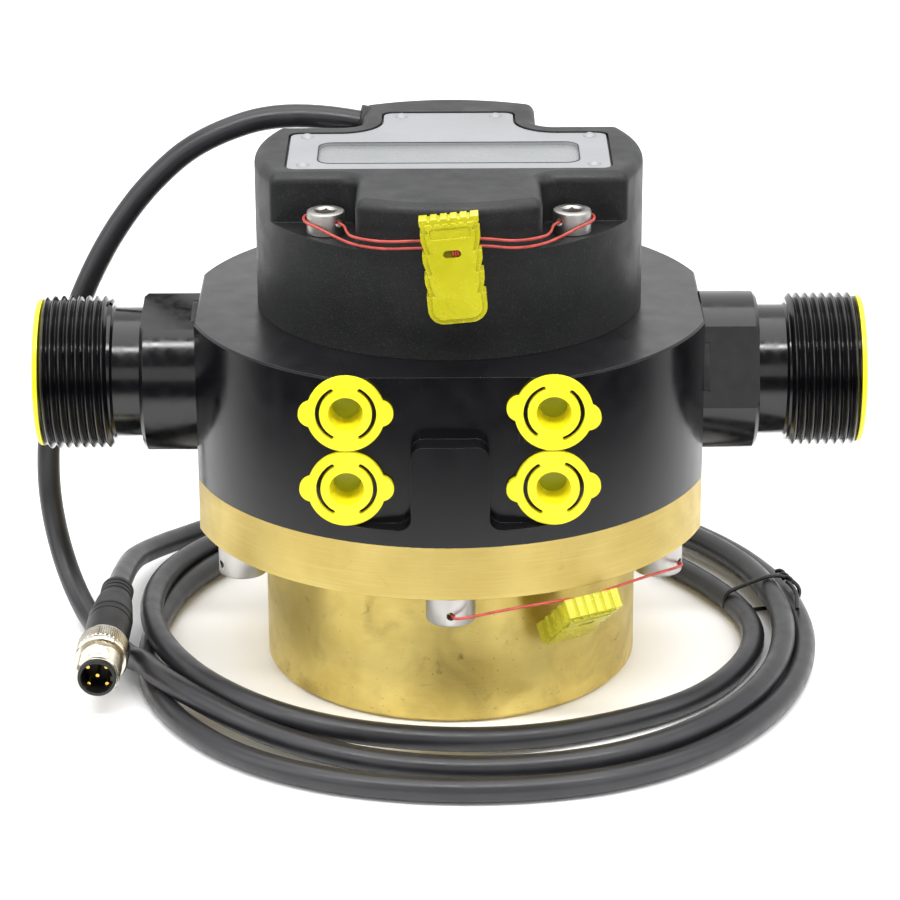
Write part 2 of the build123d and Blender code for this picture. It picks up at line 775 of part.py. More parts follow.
def make_faceplate():
    """Metal face plate with the display window and rivet holes."""
    face = plate_outline() - window_outline()
    for x, y in rivet_spots():
        face -= Pos(x, y) * Circle(rivet_shank_radius + running_gap)
    return Pos(0, 0, cover_top - plate_recess) * extrude(face, plate_thickness)


def face_rivet(x, y):
    """Domed rivet."""
    foot = cover_top - plate_recess + plate_thickness
    dome_radius = (rivet_head_radius ** 2 + rivet_head_height ** 2) / (2 * rivet_head_height)
    dome = Pos(0, 0, foot + rivet_head_height - dome_radius) * Sphere(dome_radius)
    dome &= disc(rivet_head_radius + 1, foot, foot + 2 * rivet_head_height)
    return Pos(x, y, 0) * (dome + disc(rivet_shank_radius, foot - rivet_shank_length, foot))


def make_display_window():
    """Clear lens behind the window of the face plate."""
    lens = Pos(0, 0, cover_top - plate_recess - lens_thickness) * extrude(
        window_outline(lens_lap - 0.1), lens_thickness)
    return lens


# Electronics

def make_display_module():
    """Display block under the roof of the cover."""
    return Pos(0, window_y, roof_z - display_thickness / 2) * Box(
        display_length, display_width, display_thickness)


def make_circuit_board():
    """Round circuit board with holes for its stand-offs."""
    z = housing_top + standoff_height
    return disc(board_radius, z, z + board_thickness)


def make_board_standoffs():
    """Four stand-offs between housing and circuit board."""
    posts = []
    for angle in (0, 90, 180, 270):
        x, y = on_circle(standoff_circle, angle)
        posts.append(disc(standoff_radius, housing_top, housing_top + standoff_height, x, y))
    return group(posts)


def make_field_sensor():
    """Sensor under the board, above the magnet."""
    return disc(sensor_radius, housing_top + 1.0, housing_top + standoff_height)


def make_battery():
    """Battery cell lying on the circuit board."""
    z = housing_top + standoff_height + board_thickness + battery_radius
    return Pos(0, battery_y, z) * Rot(0, 90, 0) * Cylinder(battery_radius, battery_length)


# Cable, coil, tie and connector

def make_cable_grommet():
    """Rubber grommet round the cable at its exit."""
    sleeve = Circle(grommet_radius) - Circle(cable_radius)
    return exit_plane() * extrude(sleeve, -grommet_length)


def strand_spokes():
    """Inner and outer edge of the coil at each spoke."""
    edges = []
    for i in range(len(turn_radii[0])):
        strands = [turn[i] for turn in turn_radii]
        edges.append((min(strands) - cable_radius, max(strands) + cable_radius))
    return edges


def make_cable_coil():
    """Closed outer shape of the coil that lies round the base."""
    outlines = []
    for side in (0, 1):
        points = [on_circle(edge[side], first_spoke + i * spoke_step)
                  for i, edge in enumerate(strand_spokes())]
        outlines.append(make_face(Spline(*points, periodic=True)))
    shape = extrude(outlines[1] - outlines[0], coil_height)
    return shape - tie_loop(0.25)


def coil_edges_at(angle):
    """Inner and outer edge of the coil at any angle, between its spokes."""
    place = ((angle - first_spoke) % 360) / spoke_step
    before = int(place)
    spokes = strand_spokes()
    share = place - before
    following = spokes[(before + 1) % len(spokes)]
    return [a + (b - a) * share for a, b in zip(spokes[before], following)]


def tie_loop(grow):
    """Flat ring of tie wire, sunk by its thickness into the section of the coil."""
    inner_edge, outer_edge = coil_edges_at(tie_spoke)
    x, y = on_circle((inner_edge + outer_edge) / 2, tie_spoke)
    cosine, sine = on_circle(1, tie_spoke)
    across = Plane(origin=(x, y, coil_height / 2), x_dir=(cosine, sine, 0), z_dir=(-sine, cosine, 0))
    wire = 2 * tie_wire_radius
    width = outer_edge - inner_edge + wire
    outer = RectangleRounded(width + 2 * grow, coil_height + 2 * grow, 3.0)
    inner = RectangleRounded(width - 2 * wire - 2 * grow, coil_height - 2 * wire - 2 * grow, 2.0)
    thick = wire + 2 * grow
    return across * Pos(0, 0, -thick / 2) * extrude(outer - inner, thick)


def make_cable_tie():
    """Wire tie round the coil."""
    return tie_loop(0)


def connector_plane():
    """Plane at the mating face of the connector, Z back along its axis."""
    return axis_plane(connector_face, connector_back)


def connector_length():
    """Mating face to cable end."""
    return (Vector(*connector_back) - Vector(*connector_face)).length


def nut_start():
    """Front of the knurled part of the coupling nut."""
    return connector_nose + connector_thread_length


def make_connector_body():
    """Moulded connector body with a tapered, ribbed cable end."""
    length = connector_length()
    start = nut_start() + connector_nut_length
    shoulder = start + 0.48 * (length - start)
    points = [(0, start + 0.2), (connector_body_radius, start + 0.2), (connector_body_radius, shoulder)]
    ribs = 4
    pitch = 2.2
    taper_end = length - ribs * pitch
    points += [(connector_neck_radius + 0.5, taper_end)]
    for i in range(ribs):
        z = taper_end + i * pitch
        points += [(connector_neck_radius - 0.7, z), (connector_neck_radius - 0.7, z + 0.7),
                   (connector_neck_radius, z + 0.7), (connector_neck_radius, z + pitch)]
    points += [(0, length)]
    shape = turned(points)
    for z in (shoulder - 1.5, shoulder - 4.5):
        shape -= ring(connector_body_radius + 1, connector_body_radius - 0.4, z, z + 0.6)
    core = disc(connector_thread_radius - 0.9, nut_start() - 1.5, start + 0.3)
    return connector_plane() * (shape + core)


def make_connector_nut():
    """Coupling nut: knurled collar and threaded sleeve, free to turn."""
    back = nut_start() + connector_nut_length
    shape = ring(connector_nut_radius, connector_thread_radius - 0.9 + running_gap, nut_start(), back)
    shape = chamfer(shape.edges().filter_by(GeomType.CIRCLE).sort_by(SortBy.RADIUS)[-2:], 0.5)
    sleeve = ring(connector_thread_radius, connector_insert_radius + running_gap, connector_nose, nut_start())
    return connector_plane() * (shape + sleeve)


def make_connector_insert():
    """Contact carrier with its socket and coding key."""
    shape = disc(connector_insert_radius, 0, nut_start() - 1.5)
    shape -= disc(connector_insert_radius - 0.8, -1, connector_socket_depth)
    shape += Pos(0, connector_insert_radius - 0.8, connector_socket_depth / 2) * Box(1.4, 1.4, connector_socket_depth)
    shape &= disc(connector_insert_radius, 0, nut_start())
    return connector_plane() * shape


def make_connector_pins():
    """Five gold plated contacts."""
    pins = []
    places = [(0.0, 0.0)] + [on_circle(connector_pin_circle, 45 + 90 * i) for i in range(4)]
    for x, y in places:
        pins.append(disc(connector_pin_radius, connector_socket_depth - connector_pin_length,
                         connector_socket_depth, x, y))
    return group([connector_plane() * pin for pin in pins])


# Wire seals

def tag_outline(inset=0.0):
    """Outline of a seal tag: stepped sides, notched top and round lower corners."""
    half = tag_width / 2 - inset
    top = tag_wire_from_top - inset
    low = tag_wire_from_top - tag_height + inset
    side = [(half, top)]
    for i in range(tag_steps):
        y = tag_wire_from_top - tag_first_step - i * tag_step_pitch
        run = tag_first_step - inset if i == 0 else tag_step_pitch
        side += [(half, y + 0.6 * run), (half - tag_step_depth, y), (half, y - 0.4)]
    side += [(half, low)]
    mirrored = [(-x, y) for x, y in reversed(side)]
    face = make_face(Polyline(*side, *mirrored, close=True))
    face = fillet([v for v in face.vertices() if abs(v.Y - low) < 0.01], tag_corner - inset)
    pitch = 2 * half / tag_top_bumps
    for i in range(1, tag_top_bumps):
        face -= Pos(-half + i * pitch, top) * Circle(tag_bump_notch)
    return face


def seal_tag(levels):
    """Tag that hangs from X at its wires, with wire holes at the given levels and a rotor bore."""
    front = tag_thickness - tag_back
    shape = Pos(0, 0, -tag_back) * extrude(tag_outline(), tag_thickness - tag_rim_drop)
    shape += Pos(0, 0, -tag_back) * extrude(tag_outline(tag_rim), tag_thickness)
    label_y = tag_wire_from_top - tag_first_step - 0.6
    shape -= Pos(0, label_y, front - tag_label_depth) * extrude(
        RectangleRounded(tag_label_length, tag_label_width, 0.8), 1)
    shape -= Pos(0, tag_slot_y, front - rotor_cover) * extrude(
        SlotOverall(tag_slot_length, tag_slot_width), rotor_cover + 1)
    for y in levels:
        shape -= Pos(0, y, 0) * Rot(0, 90, 0) * Cylinder(wire_radius + 0.15, 2 * tag_width)
    shape -= Pos(0, tag_slot_y, -tag_back - 1) * extrude(
        Circle(rotor_radius + running_gap), tag_thickness - rotor_cover + 1)
    return shape


def seal_rotor():
    """Winding rotor in the back of the tag, with a key slot."""
    rotor = Pos(0, tag_slot_y, -tag_back) * extrude(
        Circle(rotor_radius), tag_thickness - rotor_cover - running_gap)
    slot = Pos(0, tag_slot_y, -tag_back) * extrude(Rectangle(1.2, 2 * rotor_radius), 0.8)
    return rotor - slot


def upper_tag_plane():
    """Frame of the upper tag: X along its wires, Y up, Z out from the cover."""
    lean = radians(upper_tag_lean)
    y = -cover_radius - tag_back - tag_clearance
    return Plane(origin=(upper_tag_x, y, upper_tag_wire_z), x_dir=(cos(lean), 0, sin(lean)), z_dir=(0, -1, 0))


def lower_tag_plane():
    """Frame of the lower tag, its foot leaning on the cup."""
    x, y = on_circle(body_radius - lower_tag_inset, lower_tag_angle)
    return Plane(origin=(x, y, cup_height - lower_tag_drop), x_dir=lower_tag_along, z_dir=lower_tag_face)


def upper_wire_points(side, level):
    """Route of one upper seal wire from a cover screw to the tag."""
    hole_z = cover_floor_z + cover_wire_hole_rise
    lean = radians(upper_tag_lean)
    slide = side * (tag_width / 2 + 1.2)
    tag_y = -cover_radius - tag_back - tag_clearance
    tag_x = upper_tag_x - level * sin(lean)
    tag_z = upper_tag_wire_z + level * cos(lean)
    bend = on_circle(cover_radius + 2.2, -90 + side * 27.5)
    inside = side * (rotor_radius + 0.5)
    if level > 0:
        first = [head_point(side, 0.0, 45.0, hole_z),
                 head_point(side, cover_screw_head_radius + 3.0, 45.0, hole_z)]
    else:
        round_head = cover_screw_head_radius + 1.2
        first = [head_point(side, round_head - 0.5, 200.0, hole_z),
                 head_point(side, round_head, 155.0, hole_z),
                 head_point(side, round_head, 105.0, hole_z - 0.5)]
    return first + [
        (bend[0], bend[1], (hole_z + 2 * tag_z) / 3),
        (tag_x + slide * cos(lean), tag_y, tag_z + slide * sin(lean)),
        (tag_x + inside * cos(lean), tag_y, tag_z + inside * sin(lean)),
    ]


def head_point(side, radius, turn, z):
    """Point beside a front cover screw, its turn counted from the middle of the cover outward."""
    x, y = on_circle(radius, -turn)
    return side * (cover_screw_offset - x), y - cover_screw_offset, z


def make_upper_seal_wire():
    """Wires from the front cover screws into the upper tag, through and round each head."""
    wires = []
    for side in (-1, 1):
        for level in (-wire_spacing / 2, wire_spacing / 2):
            wires.append(tube_along(upper_wire_points(side, level), wire_radius, "upper_seal_wire"))
    return group(wires)


def lower_wire_points(end):
    """Route of one lower seal wire from a drilled flange screw to the side of the tag."""
    frame = lower_tag_plane()
    sign = -1 if end == 0 else 1
    z = cup_height - flange_screw_head_height + seal_hole_rise
    centre = Vector(*on_circle(flange_screw_circle, flange_screw_angles[end]), z)
    outward = Vector(*on_circle(1, flange_screw_angles[end]), 0)
    along = Vector(*on_circle(1, flange_screw_angles[end] - 90 * sign), 0)
    leave = centre + outward * (flange_screw_head_radius + 1.3)
    turn = centre + outward * (flange_screw_head_radius + 2.6) + along * 3.6
    entry = Vector(*frame.from_local_coords((sign * (tag_width / 2 + 4.0), 0, 0)))
    inside = Vector(*frame.from_local_coords((sign * (rotor_radius + 0.5), 0, 0)))
    middle = (turn + entry) / 2 + Vector(0, 0, 0.9)
    return [tuple(point) for point in (centre, leave, turn, middle, entry, inside)]


def make_lower_seal_wire():
    """Two wires from two flange screws into the lower tag."""
    return group([tube_along(lower_wire_points(end), wire_radius, "lower_seal_wire") for end in (0, 1)])


# Build every node

def build():
    """All nodes of the meter by name."""
    nodes = {
        "base_cup": make_base_cup(),
        "housing_seal": make_housing_seal(),
        "flange_screws": group([flange_screw(a) for a in flange_screw_angles]),
        "housing": make_housing(),
        "inlet_fitting": place_port(pipe_fitting(inlet_flat_angle), -1),
        "outlet_fitting": place_port(pipe_fitting(outlet_flat_angle), 1),
        "fitting_seals": group([place_port(fitting_seal(), side) for side in (-1, 1)]),
        "inlet_strainer": place_port(make_inlet_strainer(), -1),
        "inlet_cap": place_port(pipe_cap(), -1),
        "outlet_cap": place_port(pipe_cap(), 1),
        "chamber_liner": make_chamber_liner(),
        "chamber_cover": make_chamber_cover(),
        "partition_plate": make_partition_plate(),
        "ring_piston": make_ring_piston(),
        "piston_crank": make_piston_crank(),
        "drive_magnet": make_drive_magnet(),
        "bearing_bridge": make_bearing_bridge(),
        "shaft_bush": make_shaft_bush(),
        "top_cover": make_top_cover(),
        "cover_gasket": make_cover_gasket(),
        "cover_screws": group([cover_screw(sx, sy) for sx, sy in corners]),
        "faceplate": make_faceplate(),
        "faceplate_rivets": group([face_rivet(x, y) for x, y in rivet_spots()]),
        "display_window": make_display_window(),
        "display_module": make_display_module(),
        "circuit_board": make_circuit_board(),
        "board_standoffs": make_board_standoffs(),
        "field_sensor": make_field_sensor(),
        "battery": make_battery(),
        "cable_grommet": make_cable_grommet(),
        "cable_lead": tube_along(lead_points, cable_radius, "cable_lead"),
        "cable_coil": make_cable_coil(),
        "cable_tail": tube_along(tail_points, cable_radius, "cable_tail"),
        "cable_tie": make_cable_tie(),
        "connector_body": make_connector_body(),
        "connector_nut": make_connector_nut(),
        "connector_insert": make_connector_insert(),
        "connector_pins": make_connector_pins(),
        "upper_seal_tag": upper_tag_plane() * seal_tag((-wire_spacing / 2, wire_spacing / 2)),
        "upper_seal_rotor": upper_tag_plane() * seal_rotor(),
        "upper_seal_wire": make_upper_seal_wire(),
        "lower_seal_tag": lower_tag_plane() * seal_tag((0.0,)),
        "lower_seal_rotor": lower_tag_plane() * seal_rotor(),
        "lower_seal_wire": make_lower_seal_wire(),
    }
    sides = {"left": -bracket_hole_x, "right": bracket_hole_x}
    rows = {"lower": bracket_rows[0], "upper": bracket_rows[1]}
    for row, z in rows.items():
        for side, x in sides.items():
            nodes[f"{row}_{side}_plug"] = bracket_plug(f"{row}_{side}", x, z)
    return nodes


for node, shape in build().items():
    export_step(shape, f"parts/{node}.step")
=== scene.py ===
"""Looks of the diesel flow meter: finishes, threads, seals, cable, light and camera."""
import logging
import math
from contextlib import contextmanager
from dataclasses import dataclass
from enum import Enum
from typing import Iterator, Optional, Sequence

import bpy
from bpy.types import Material, Node, NodeSocket, Object
from mathutils import Matrix, Vector


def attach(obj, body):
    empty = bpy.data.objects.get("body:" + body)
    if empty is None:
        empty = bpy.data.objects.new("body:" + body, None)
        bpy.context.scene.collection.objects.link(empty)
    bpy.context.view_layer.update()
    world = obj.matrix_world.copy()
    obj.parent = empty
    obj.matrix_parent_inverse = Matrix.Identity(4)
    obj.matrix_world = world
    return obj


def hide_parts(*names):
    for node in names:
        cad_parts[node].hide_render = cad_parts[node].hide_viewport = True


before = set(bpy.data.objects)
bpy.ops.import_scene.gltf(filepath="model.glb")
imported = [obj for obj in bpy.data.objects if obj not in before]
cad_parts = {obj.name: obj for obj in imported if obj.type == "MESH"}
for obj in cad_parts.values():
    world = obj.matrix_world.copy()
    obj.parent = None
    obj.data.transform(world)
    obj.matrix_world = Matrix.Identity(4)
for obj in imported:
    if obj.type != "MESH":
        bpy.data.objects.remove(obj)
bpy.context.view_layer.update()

MM = 0.001
FULL_TURN = 2 * math.pi
Point = tuple[float, float, float]
logging.basicConfig(level=logging.INFO, format="%(message)s")
LOG = logging.getLogger("flow_meter")


class Body(str, Enum):
    """Moving groups of the meter that pieces ride on."""

    METER = "meter"
    NUT = "nut"
    LOWER_TAG = "lower_tag"


class Slot(str, Enum):
    """Names of material slots of the record."""

    ANODISED = "black_anodised"
    STEEL = "stainless"
    JACKET = "cable_jacket"
    RED_WIRE = "red_wire"
    TIE = "tie_wire"
    NICKEL = "nickel"
    DISPLAY = "display_grey"


def linear(code: str) -> tuple[float, float, float, float]:
    """Turns an sRGB hex colour into linear red, green, blue and an alpha of one."""
    values = (int(code[i:i + 2], 16) / 255 for i in (1, 3, 5))
    return (*(v / 12.92 if v <= 0.04045 else ((v + 0.055) / 1.055) ** 2.4 for v in values), 1.0)


class ShaderGraph:
    """One node material that is built up piece by piece."""

    def __init__(self, name: str) -> None:
        """Starts a material with its surface shader.

        Args:
            name: Name of the material.
        """
        self.material = bpy.data.materials.new(name)
        self.material.use_nodes = True
        self.tree = self.material.node_tree
        self.tree.nodes.clear()
        self.surface = self.add("ShaderNodeBsdfPrincipled")
        output = self.add("ShaderNodeOutputMaterial")
        self.tree.links.new(self.surface.outputs[0], output.inputs["Surface"])
        place = self.add("ShaderNodeTexCoord").outputs["Object"]
        self.place_mm = self.add("ShaderNodeVectorMath", {0: place, 1: (1 / MM, 1 / MM, 1 / MM)},
                                 operation="MULTIPLY").outputs[0]
        self.colour: Optional[NodeSocket] = None
        self.rough: Optional[NodeSocket] = None
        self.normal: Optional[NodeSocket] = None

    def add(self, kind: str, inputs: Optional[dict] = None, **settings: object) -> Node:
        """Adds a node with its settings, values and links.

        Args:
            kind: Node type.
            inputs: Input name or number to a value or to a socket.
            **settings: Properties of the node.

        Returns:
            The new node.
        """
        node = self.tree.nodes.new(kind)
        for key, value in settings.items():
            setattr(node, key, value)
        for key, value in (inputs or {}).items():
            self.set(node, key, value)
        return node

    def set(self, node: Node, key: object, value: object) -> None:
        """Sets or links one input.

        Args:
            node: Node that owns the input.
            key: Input name or number.
            value: Socket or plain value.
        """
        if isinstance(value, NodeSocket):
            self.tree.links.new(value, node.inputs[key])
        else:
            node.inputs[key].default_value = value

    def noise(self, size_mm: float, detail: float = 3.0, stretch: Point = (1, 1, 1),
              distortion: float = 0.0) -> NodeSocket:
        """Noise whose features have a real size.

        Args:
            size_mm: Size of a feature.
            detail: Octaves.
            stretch: Density along each axis.
            distortion: Swirl of the pattern.

        Returns:
            Value socket from 0 to 1.
        """
        vector = self.add("ShaderNodeVectorMath", {0: self.place_mm, 1: stretch}, operation="MULTIPLY")
        node = self.add("ShaderNodeTexNoise", {"Vector": vector.outputs[0], "Scale": 1 / size_mm, "Detail": detail,
                                               "Distortion": distortion})
        return node.outputs[0]

    def band(self, value: NodeSocket, low: float, high: float, to_low: float = 0.0,
             to_high: float = 1.0) -> NodeSocket:
        """Stretches a value from the range low to high to the range to_low to to_high, clamped."""
        ends = {"Value": value, "From Min": low, "From Max": high, "To Min": to_low, "To Max": to_high}
        return self.add("ShaderNodeMapRange", ends).outputs[0]

    def plain(self, values: dict) -> None:
        """Sets inputs of the surface shader."""
        for key, value in values.items():
            self.set(self.surface, key, value)

    def part(self, vector: NodeSocket, axis: int) -> NodeSocket:
        """One component of a vector."""
        return self.add("ShaderNodeSeparateXYZ", {0: vector}).outputs[axis]

    def facing(self, axis: int) -> NodeSocket:
        """One component of the face's own normal, from -1 to 1."""
        return self.part(self.add("ShaderNodeNewGeometry").outputs["True Normal"], axis)

    def math(self, operation: str, first: object, second: object = 0.0) -> NodeSocket:
        """One arithmetic step."""
        return self.add("ShaderNodeMath", {0: first, 1: second}, operation=operation).outputs[0]

    def mix(self, share: object, first: object, second: object) -> NodeSocket:
        """Blends two colours."""
        node = self.add("ShaderNodeMix", {0: share, 6: first, 7: second}, data_type="RGBA")
        return node.outputs[2]

    def tint(self, share: object, tone: str) -> None:
        """Blends an sRGB hex tone into the colour so far, by a share from 0 to 1."""
        self.colour = self.mix(share, self.colour, linear(tone))

    def relief(self, height: NodeSocket, depth_mm: float) -> None:
        """Adds a relief of a real depth to the normal so far, from a height of 0 to 1."""
        values = {"Height": height, "Distance": depth_mm * MM, "Strength": 1.0, "Normal": self.normal}
        self.normal = self.add("ShaderNodeBump", values).outputs[0]


BLOTCH_BAND = (0.35, 0.65)
SHINE_BAND = (0.3, 0.7)


@dataclass(frozen=True)
class Finish:
    """A finish with blotches of two tones, a roughness range and a fine relief."""

    name: str
    tone: str
    second_tone: str
    blotch_mm: float = 12.0
    rough_low: float = 0.3
    rough_high: float = 0.45
    metallic: float = 0.0
    grain_mm: float = 0.4
    grain_depth_mm: float = 0.004
    edge_mm: float = 0.25

    def build(self) -> Material:
        """Builds the node material.

        Returns:
            The material.
        """
        graph = ShaderGraph(self.name)
        blotch = graph.band(graph.noise(self.blotch_mm, detail=4), *BLOTCH_BAND)
        graph.colour = graph.mix(blotch, linear(self.tone), linear(self.second_tone))
        shine = graph.noise(self.blotch_mm / 3, detail=3)
        graph.rough = graph.band(shine, *SHINE_BAND, self.rough_low, self.rough_high)
        graph.normal = graph.add("ShaderNodeBevel", {"Radius": self.edge_mm * MM}, samples=6).outputs[0]
        graph.relief(graph.noise(self.grain_mm, detail=2), self.grain_depth_mm)
        self.detail(graph)
        graph.plain({"Base Color": graph.colour, "Metallic": self.metallic, "Roughness": graph.rough,
                     "Normal": graph.normal})
        return graph.material

    def detail(self, graph: ShaderGraph) -> None:
        """Adds what only this finish has.

        Args:
            graph: Material under construction, with its colour, roughness and normal so far.
        """


@dataclass(frozen=True)
class MottledBrass(Finish):
    """Machined brass with lathe lines, brown stains and small pits, mostly on the cup, and painted shade on the flange.
    """

    cup_top_mm: float = 43.0
    flange_foot_mm: float = 46.0
    flange_wear_and_shade: float = 0.3
    stain: str = "#A58F50"
    stain_mm: float = 16.0
    stain_swirl: float = 0.8
    stain_band: tuple = (0.47, 0.72, 0.0, 0.5)
    stain_rough: float = 0.15
    blot: str = "#6E5A2C"
    blot_mm: float = 4.5
    blot_swirl: float = 1.2
    blot_band: tuple = (0.62, 0.74, 0.0, 0.55)
    blot_patches: tuple = (0.4, 0.6)
    speck: str = "#5A4520"
    speck_mm: float = 0.9
    speck_band: tuple = (0.7, 0.78, 0.0, 0.6)
    flange_shade_tone: str = "#A8935A"
    flange_shade_share: float = 0.75
    line_tone: str = "#F0DE9C"
    line_mm: float = 0.35
    line_stretch: Point = (0.02, 0.02, 1.0)
    line_band: tuple = (0.5, 0.75, 0.0, 0.16)
    line_depth_mm: float = 0.004
    brushing: float = 0.85
    brush_turn: float = 0.25

    def detail(self, graph: ShaderGraph) -> None:
        """Stains, blots, pits, painted shade on the flange and lathe lines.

        Args:
            graph: Material under construction.
        """
        patches = graph.noise(self.stain_mm, detail=8, distortion=self.stain_swirl)
        height = graph.part(graph.place_mm, 2)
        # Mask of 1 on the cup and less on the flange: it thins the real stains there and sets the painted shade of the
        # flange.
        cup_wear_and_flange_shade = graph.band(height, self.cup_top_mm, self.flange_foot_mm, 1.0, self.flange_wear_and_shade)
        stains = graph.math("MULTIPLY", graph.band(patches, *self.stain_band), cup_wear_and_flange_shade)
        graph.tint(stains, self.stain)
        blots = graph.band(graph.noise(self.blot_mm, detail=6, distortion=self.blot_swirl), *self.blot_band)
        worn = graph.math("MULTIPLY", blots, cup_wear_and_flange_shade)
        graph.tint(graph.math("MULTIPLY", worn, graph.band(patches, *self.blot_patches)), self.blot)
        specks = graph.band(graph.noise(self.speck_mm, detail=2), *self.speck_band)
        graph.tint(graph.math("MULTIPLY", specks, cup_wear_and_flange_shade), self.speck)
        # Painted shade: the flange, which takes the strong top light, is tinted toward a darker brass tone.
        flange = graph.math("SUBTRACT", self.flange_shade_share, graph.math("MULTIPLY", cup_wear_and_flange_shade, self.flange_shade_share))
        graph.tint(flange, self.flange_shade_tone)
        lines = graph.noise(self.line_mm, stretch=self.line_stretch)
        graph.tint(graph.band(lines, *self.line_band), self.line_tone)
        tangent = graph.add("ShaderNodeTangent", direction_type="RADIAL", axis="Z").outputs[0]
        graph.plain({"Tangent": tangent, "Anisotropic": self.brushing, "Anisotropic Rotation": self.brush_turn})
        graph.rough = graph.math("ADD", graph.rough, graph.math("MULTIPLY", stains, self.stain_rough))
        graph.relief(lines, self.line_depth_mm)


@dataclass(frozen=True)
class MilledAnodise(Finish):
    """Black anodised aluminium with fine lathe lines and milling arcs on its front flat."""

    line_mm: float = 0.3
    line_stretch: Point = (0.05, 0.05, 1.0)
    relief_mm: float = 0.0012
    arc_centre: Point = (70.0, -64.7, 40.0)
    arc_pitch_mm: float = 0.9
    gloss: float = 0.36
    top_gloss: float = 0.55
    top_rough: float = 0.12
    top_from: float = 0.9
    top_full: float = 0.97
    front_from: float = -0.999
    scratch: str = "#4A4A4E"
    scratch_mm: float = 0.5
    scratch_stretch: Point = (1.0, 1.0, 0.05)
    scratch_band: tuple = (0.74, 0.8, 0.0, 0.3)

    def detail(self, graph: ShaderGraph) -> None:
        """Lathe lines, milling arcs, a duller top and small bright scratches.

        Args:
            graph: Material under construction.
        """
        graph.relief(graph.noise(self.line_mm, detail=2, stretch=self.line_stretch), self.relief_mm)
        away = graph.add("ShaderNodeVectorMath", {0: graph.place_mm, 1: self.arc_centre},
                         operation="DISTANCE").outputs["Value"]
        arcs = graph.math("SINE", graph.math("MULTIPLY", away, FULL_TURN / self.arc_pitch_mm))
        front = graph.math("LESS_THAN", graph.facing(1), self.front_from)
        graph.relief(graph.math("MULTIPLY", arcs, front), self.relief_mm)
        upward = graph.facing(2)
        duller = graph.band(upward, self.top_from, self.top_full, 0.0, self.top_rough)
        graph.rough = graph.math("ADD", graph.rough, duller)
        gloss = graph.band(upward, self.top_from, self.top_full, self.gloss, self.top_gloss)
        graph.plain({"Specular IOR Level": gloss})
        scratches = graph.noise(self.scratch_mm, detail=2, stretch=self.scratch_stretch)
        graph.tint(graph.band(scratches, *self.scratch_band), self.scratch)


@dataclass(frozen=True)
class MouldedGrain(Finish):
    """Grained black moulding."""

    gloss: float = 0.42
    cell_mm: float = 0.42
    cell_depth_mm: float = 0.03
    fleck: str = "#4C4D50"
    fleck_mm: float = 0.55
    fleck_band: tuple = (0.56, 0.7, 0.0, 0.16)
    scuff: str = "#5B5C5E"
    scuff_mm: float = 5.0
    scuff_swirl: float = 1.5
    scuff_band: tuple = (0.62, 0.8, 0.0, 0.06)

    def detail(self, graph: ShaderGraph) -> None:
        """Cell grain, pale flecks and faint scuffs.

        Args:
            graph: Material under construction.
        """
        cells = graph.add("ShaderNodeTexVoronoi", {"Vector": graph.place_mm, "Scale": 1 / self.cell_mm},
                          feature="SMOOTH_F1").outputs[0]
        graph.relief(cells, self.cell_depth_mm)
        graph.tint(graph.band(graph.noise(self.fleck_mm, detail=2), *self.fleck_band), self.fleck)
        scuffs = graph.noise(self.scuff_mm, detail=6, distortion=self.scuff_swirl)
        graph.tint(graph.band(scuffs, *self.scuff_band), self.scuff)
        graph.plain({"Specular IOR Level": self.gloss})


@dataclass(frozen=True)
class SoftPlastic(Finish):
    """Bright moulded plastic that lets a little light in."""

    depth_mm: float = 1.2
    weight: float = 0.25
    spread: Point = (1.0, 0.8, 0.2)

    def detail(self, graph: ShaderGraph) -> None:
        """Light that spreads under the skin."""
        graph.plain({"Subsurface Weight": self.weight, "Subsurface Scale": self.depth_mm * MM,
                     "Subsurface Radius": self.spread})


@dataclass(frozen=True)
class DishedPlastic(SoftPlastic):
    """Bright moulded plastic with painted shade, a dark olive, on the floor of its deep hollow."""

    hollow_start_mm: float = -62.0
    hollow_end_mm: float = -60.0
    hollow_shade_tone: str = "#A2AA00"
    front_from: float = -0.9

    def detail(self, graph: ShaderGraph) -> None:
        """Painted shade: a dark olive on the floor of the hollow, where a face looks to the front from deep inside.

        Args:
            graph: Material under construction.
        """
        front = graph.math("LESS_THAN", graph.facing(1), self.front_from)
        deep = graph.band(graph.part(graph.place_mm, 1), self.hollow_start_mm, self.hollow_end_mm)
        # Painted shade: dark olive where a face deep in the hollow looks to the front.
        graph.tint(graph.math("MULTIPLY", deep, front), self.hollow_shade_tone)
        super().detail(graph)


@dataclass(frozen=True)
class ClearPlastic(Finish):
    """See-through moulding."""

    clearness: float = 0.7
    index: float = 1.49

    def detail(self, graph: ShaderGraph) -> None:
        """Light that passes through."""
        graph.plain({"Transmission Weight": self.clearness, "IOR": self.index})


@dataclass(frozen=True)
class BrushedPlate(Finish):
    """Metal with fine lines along one axis."""

    stretch: Point = (0.02, 1.0, 1.0)
    line_mm: float = 0.12
    line_depth_mm: float = 0.002

    def detail(self, graph: ShaderGraph) -> None:
        """Brush lines."""
        graph.relief(graph.noise(self.line_mm, detail=2, stretch=self.stretch), self.line_depth_mm)


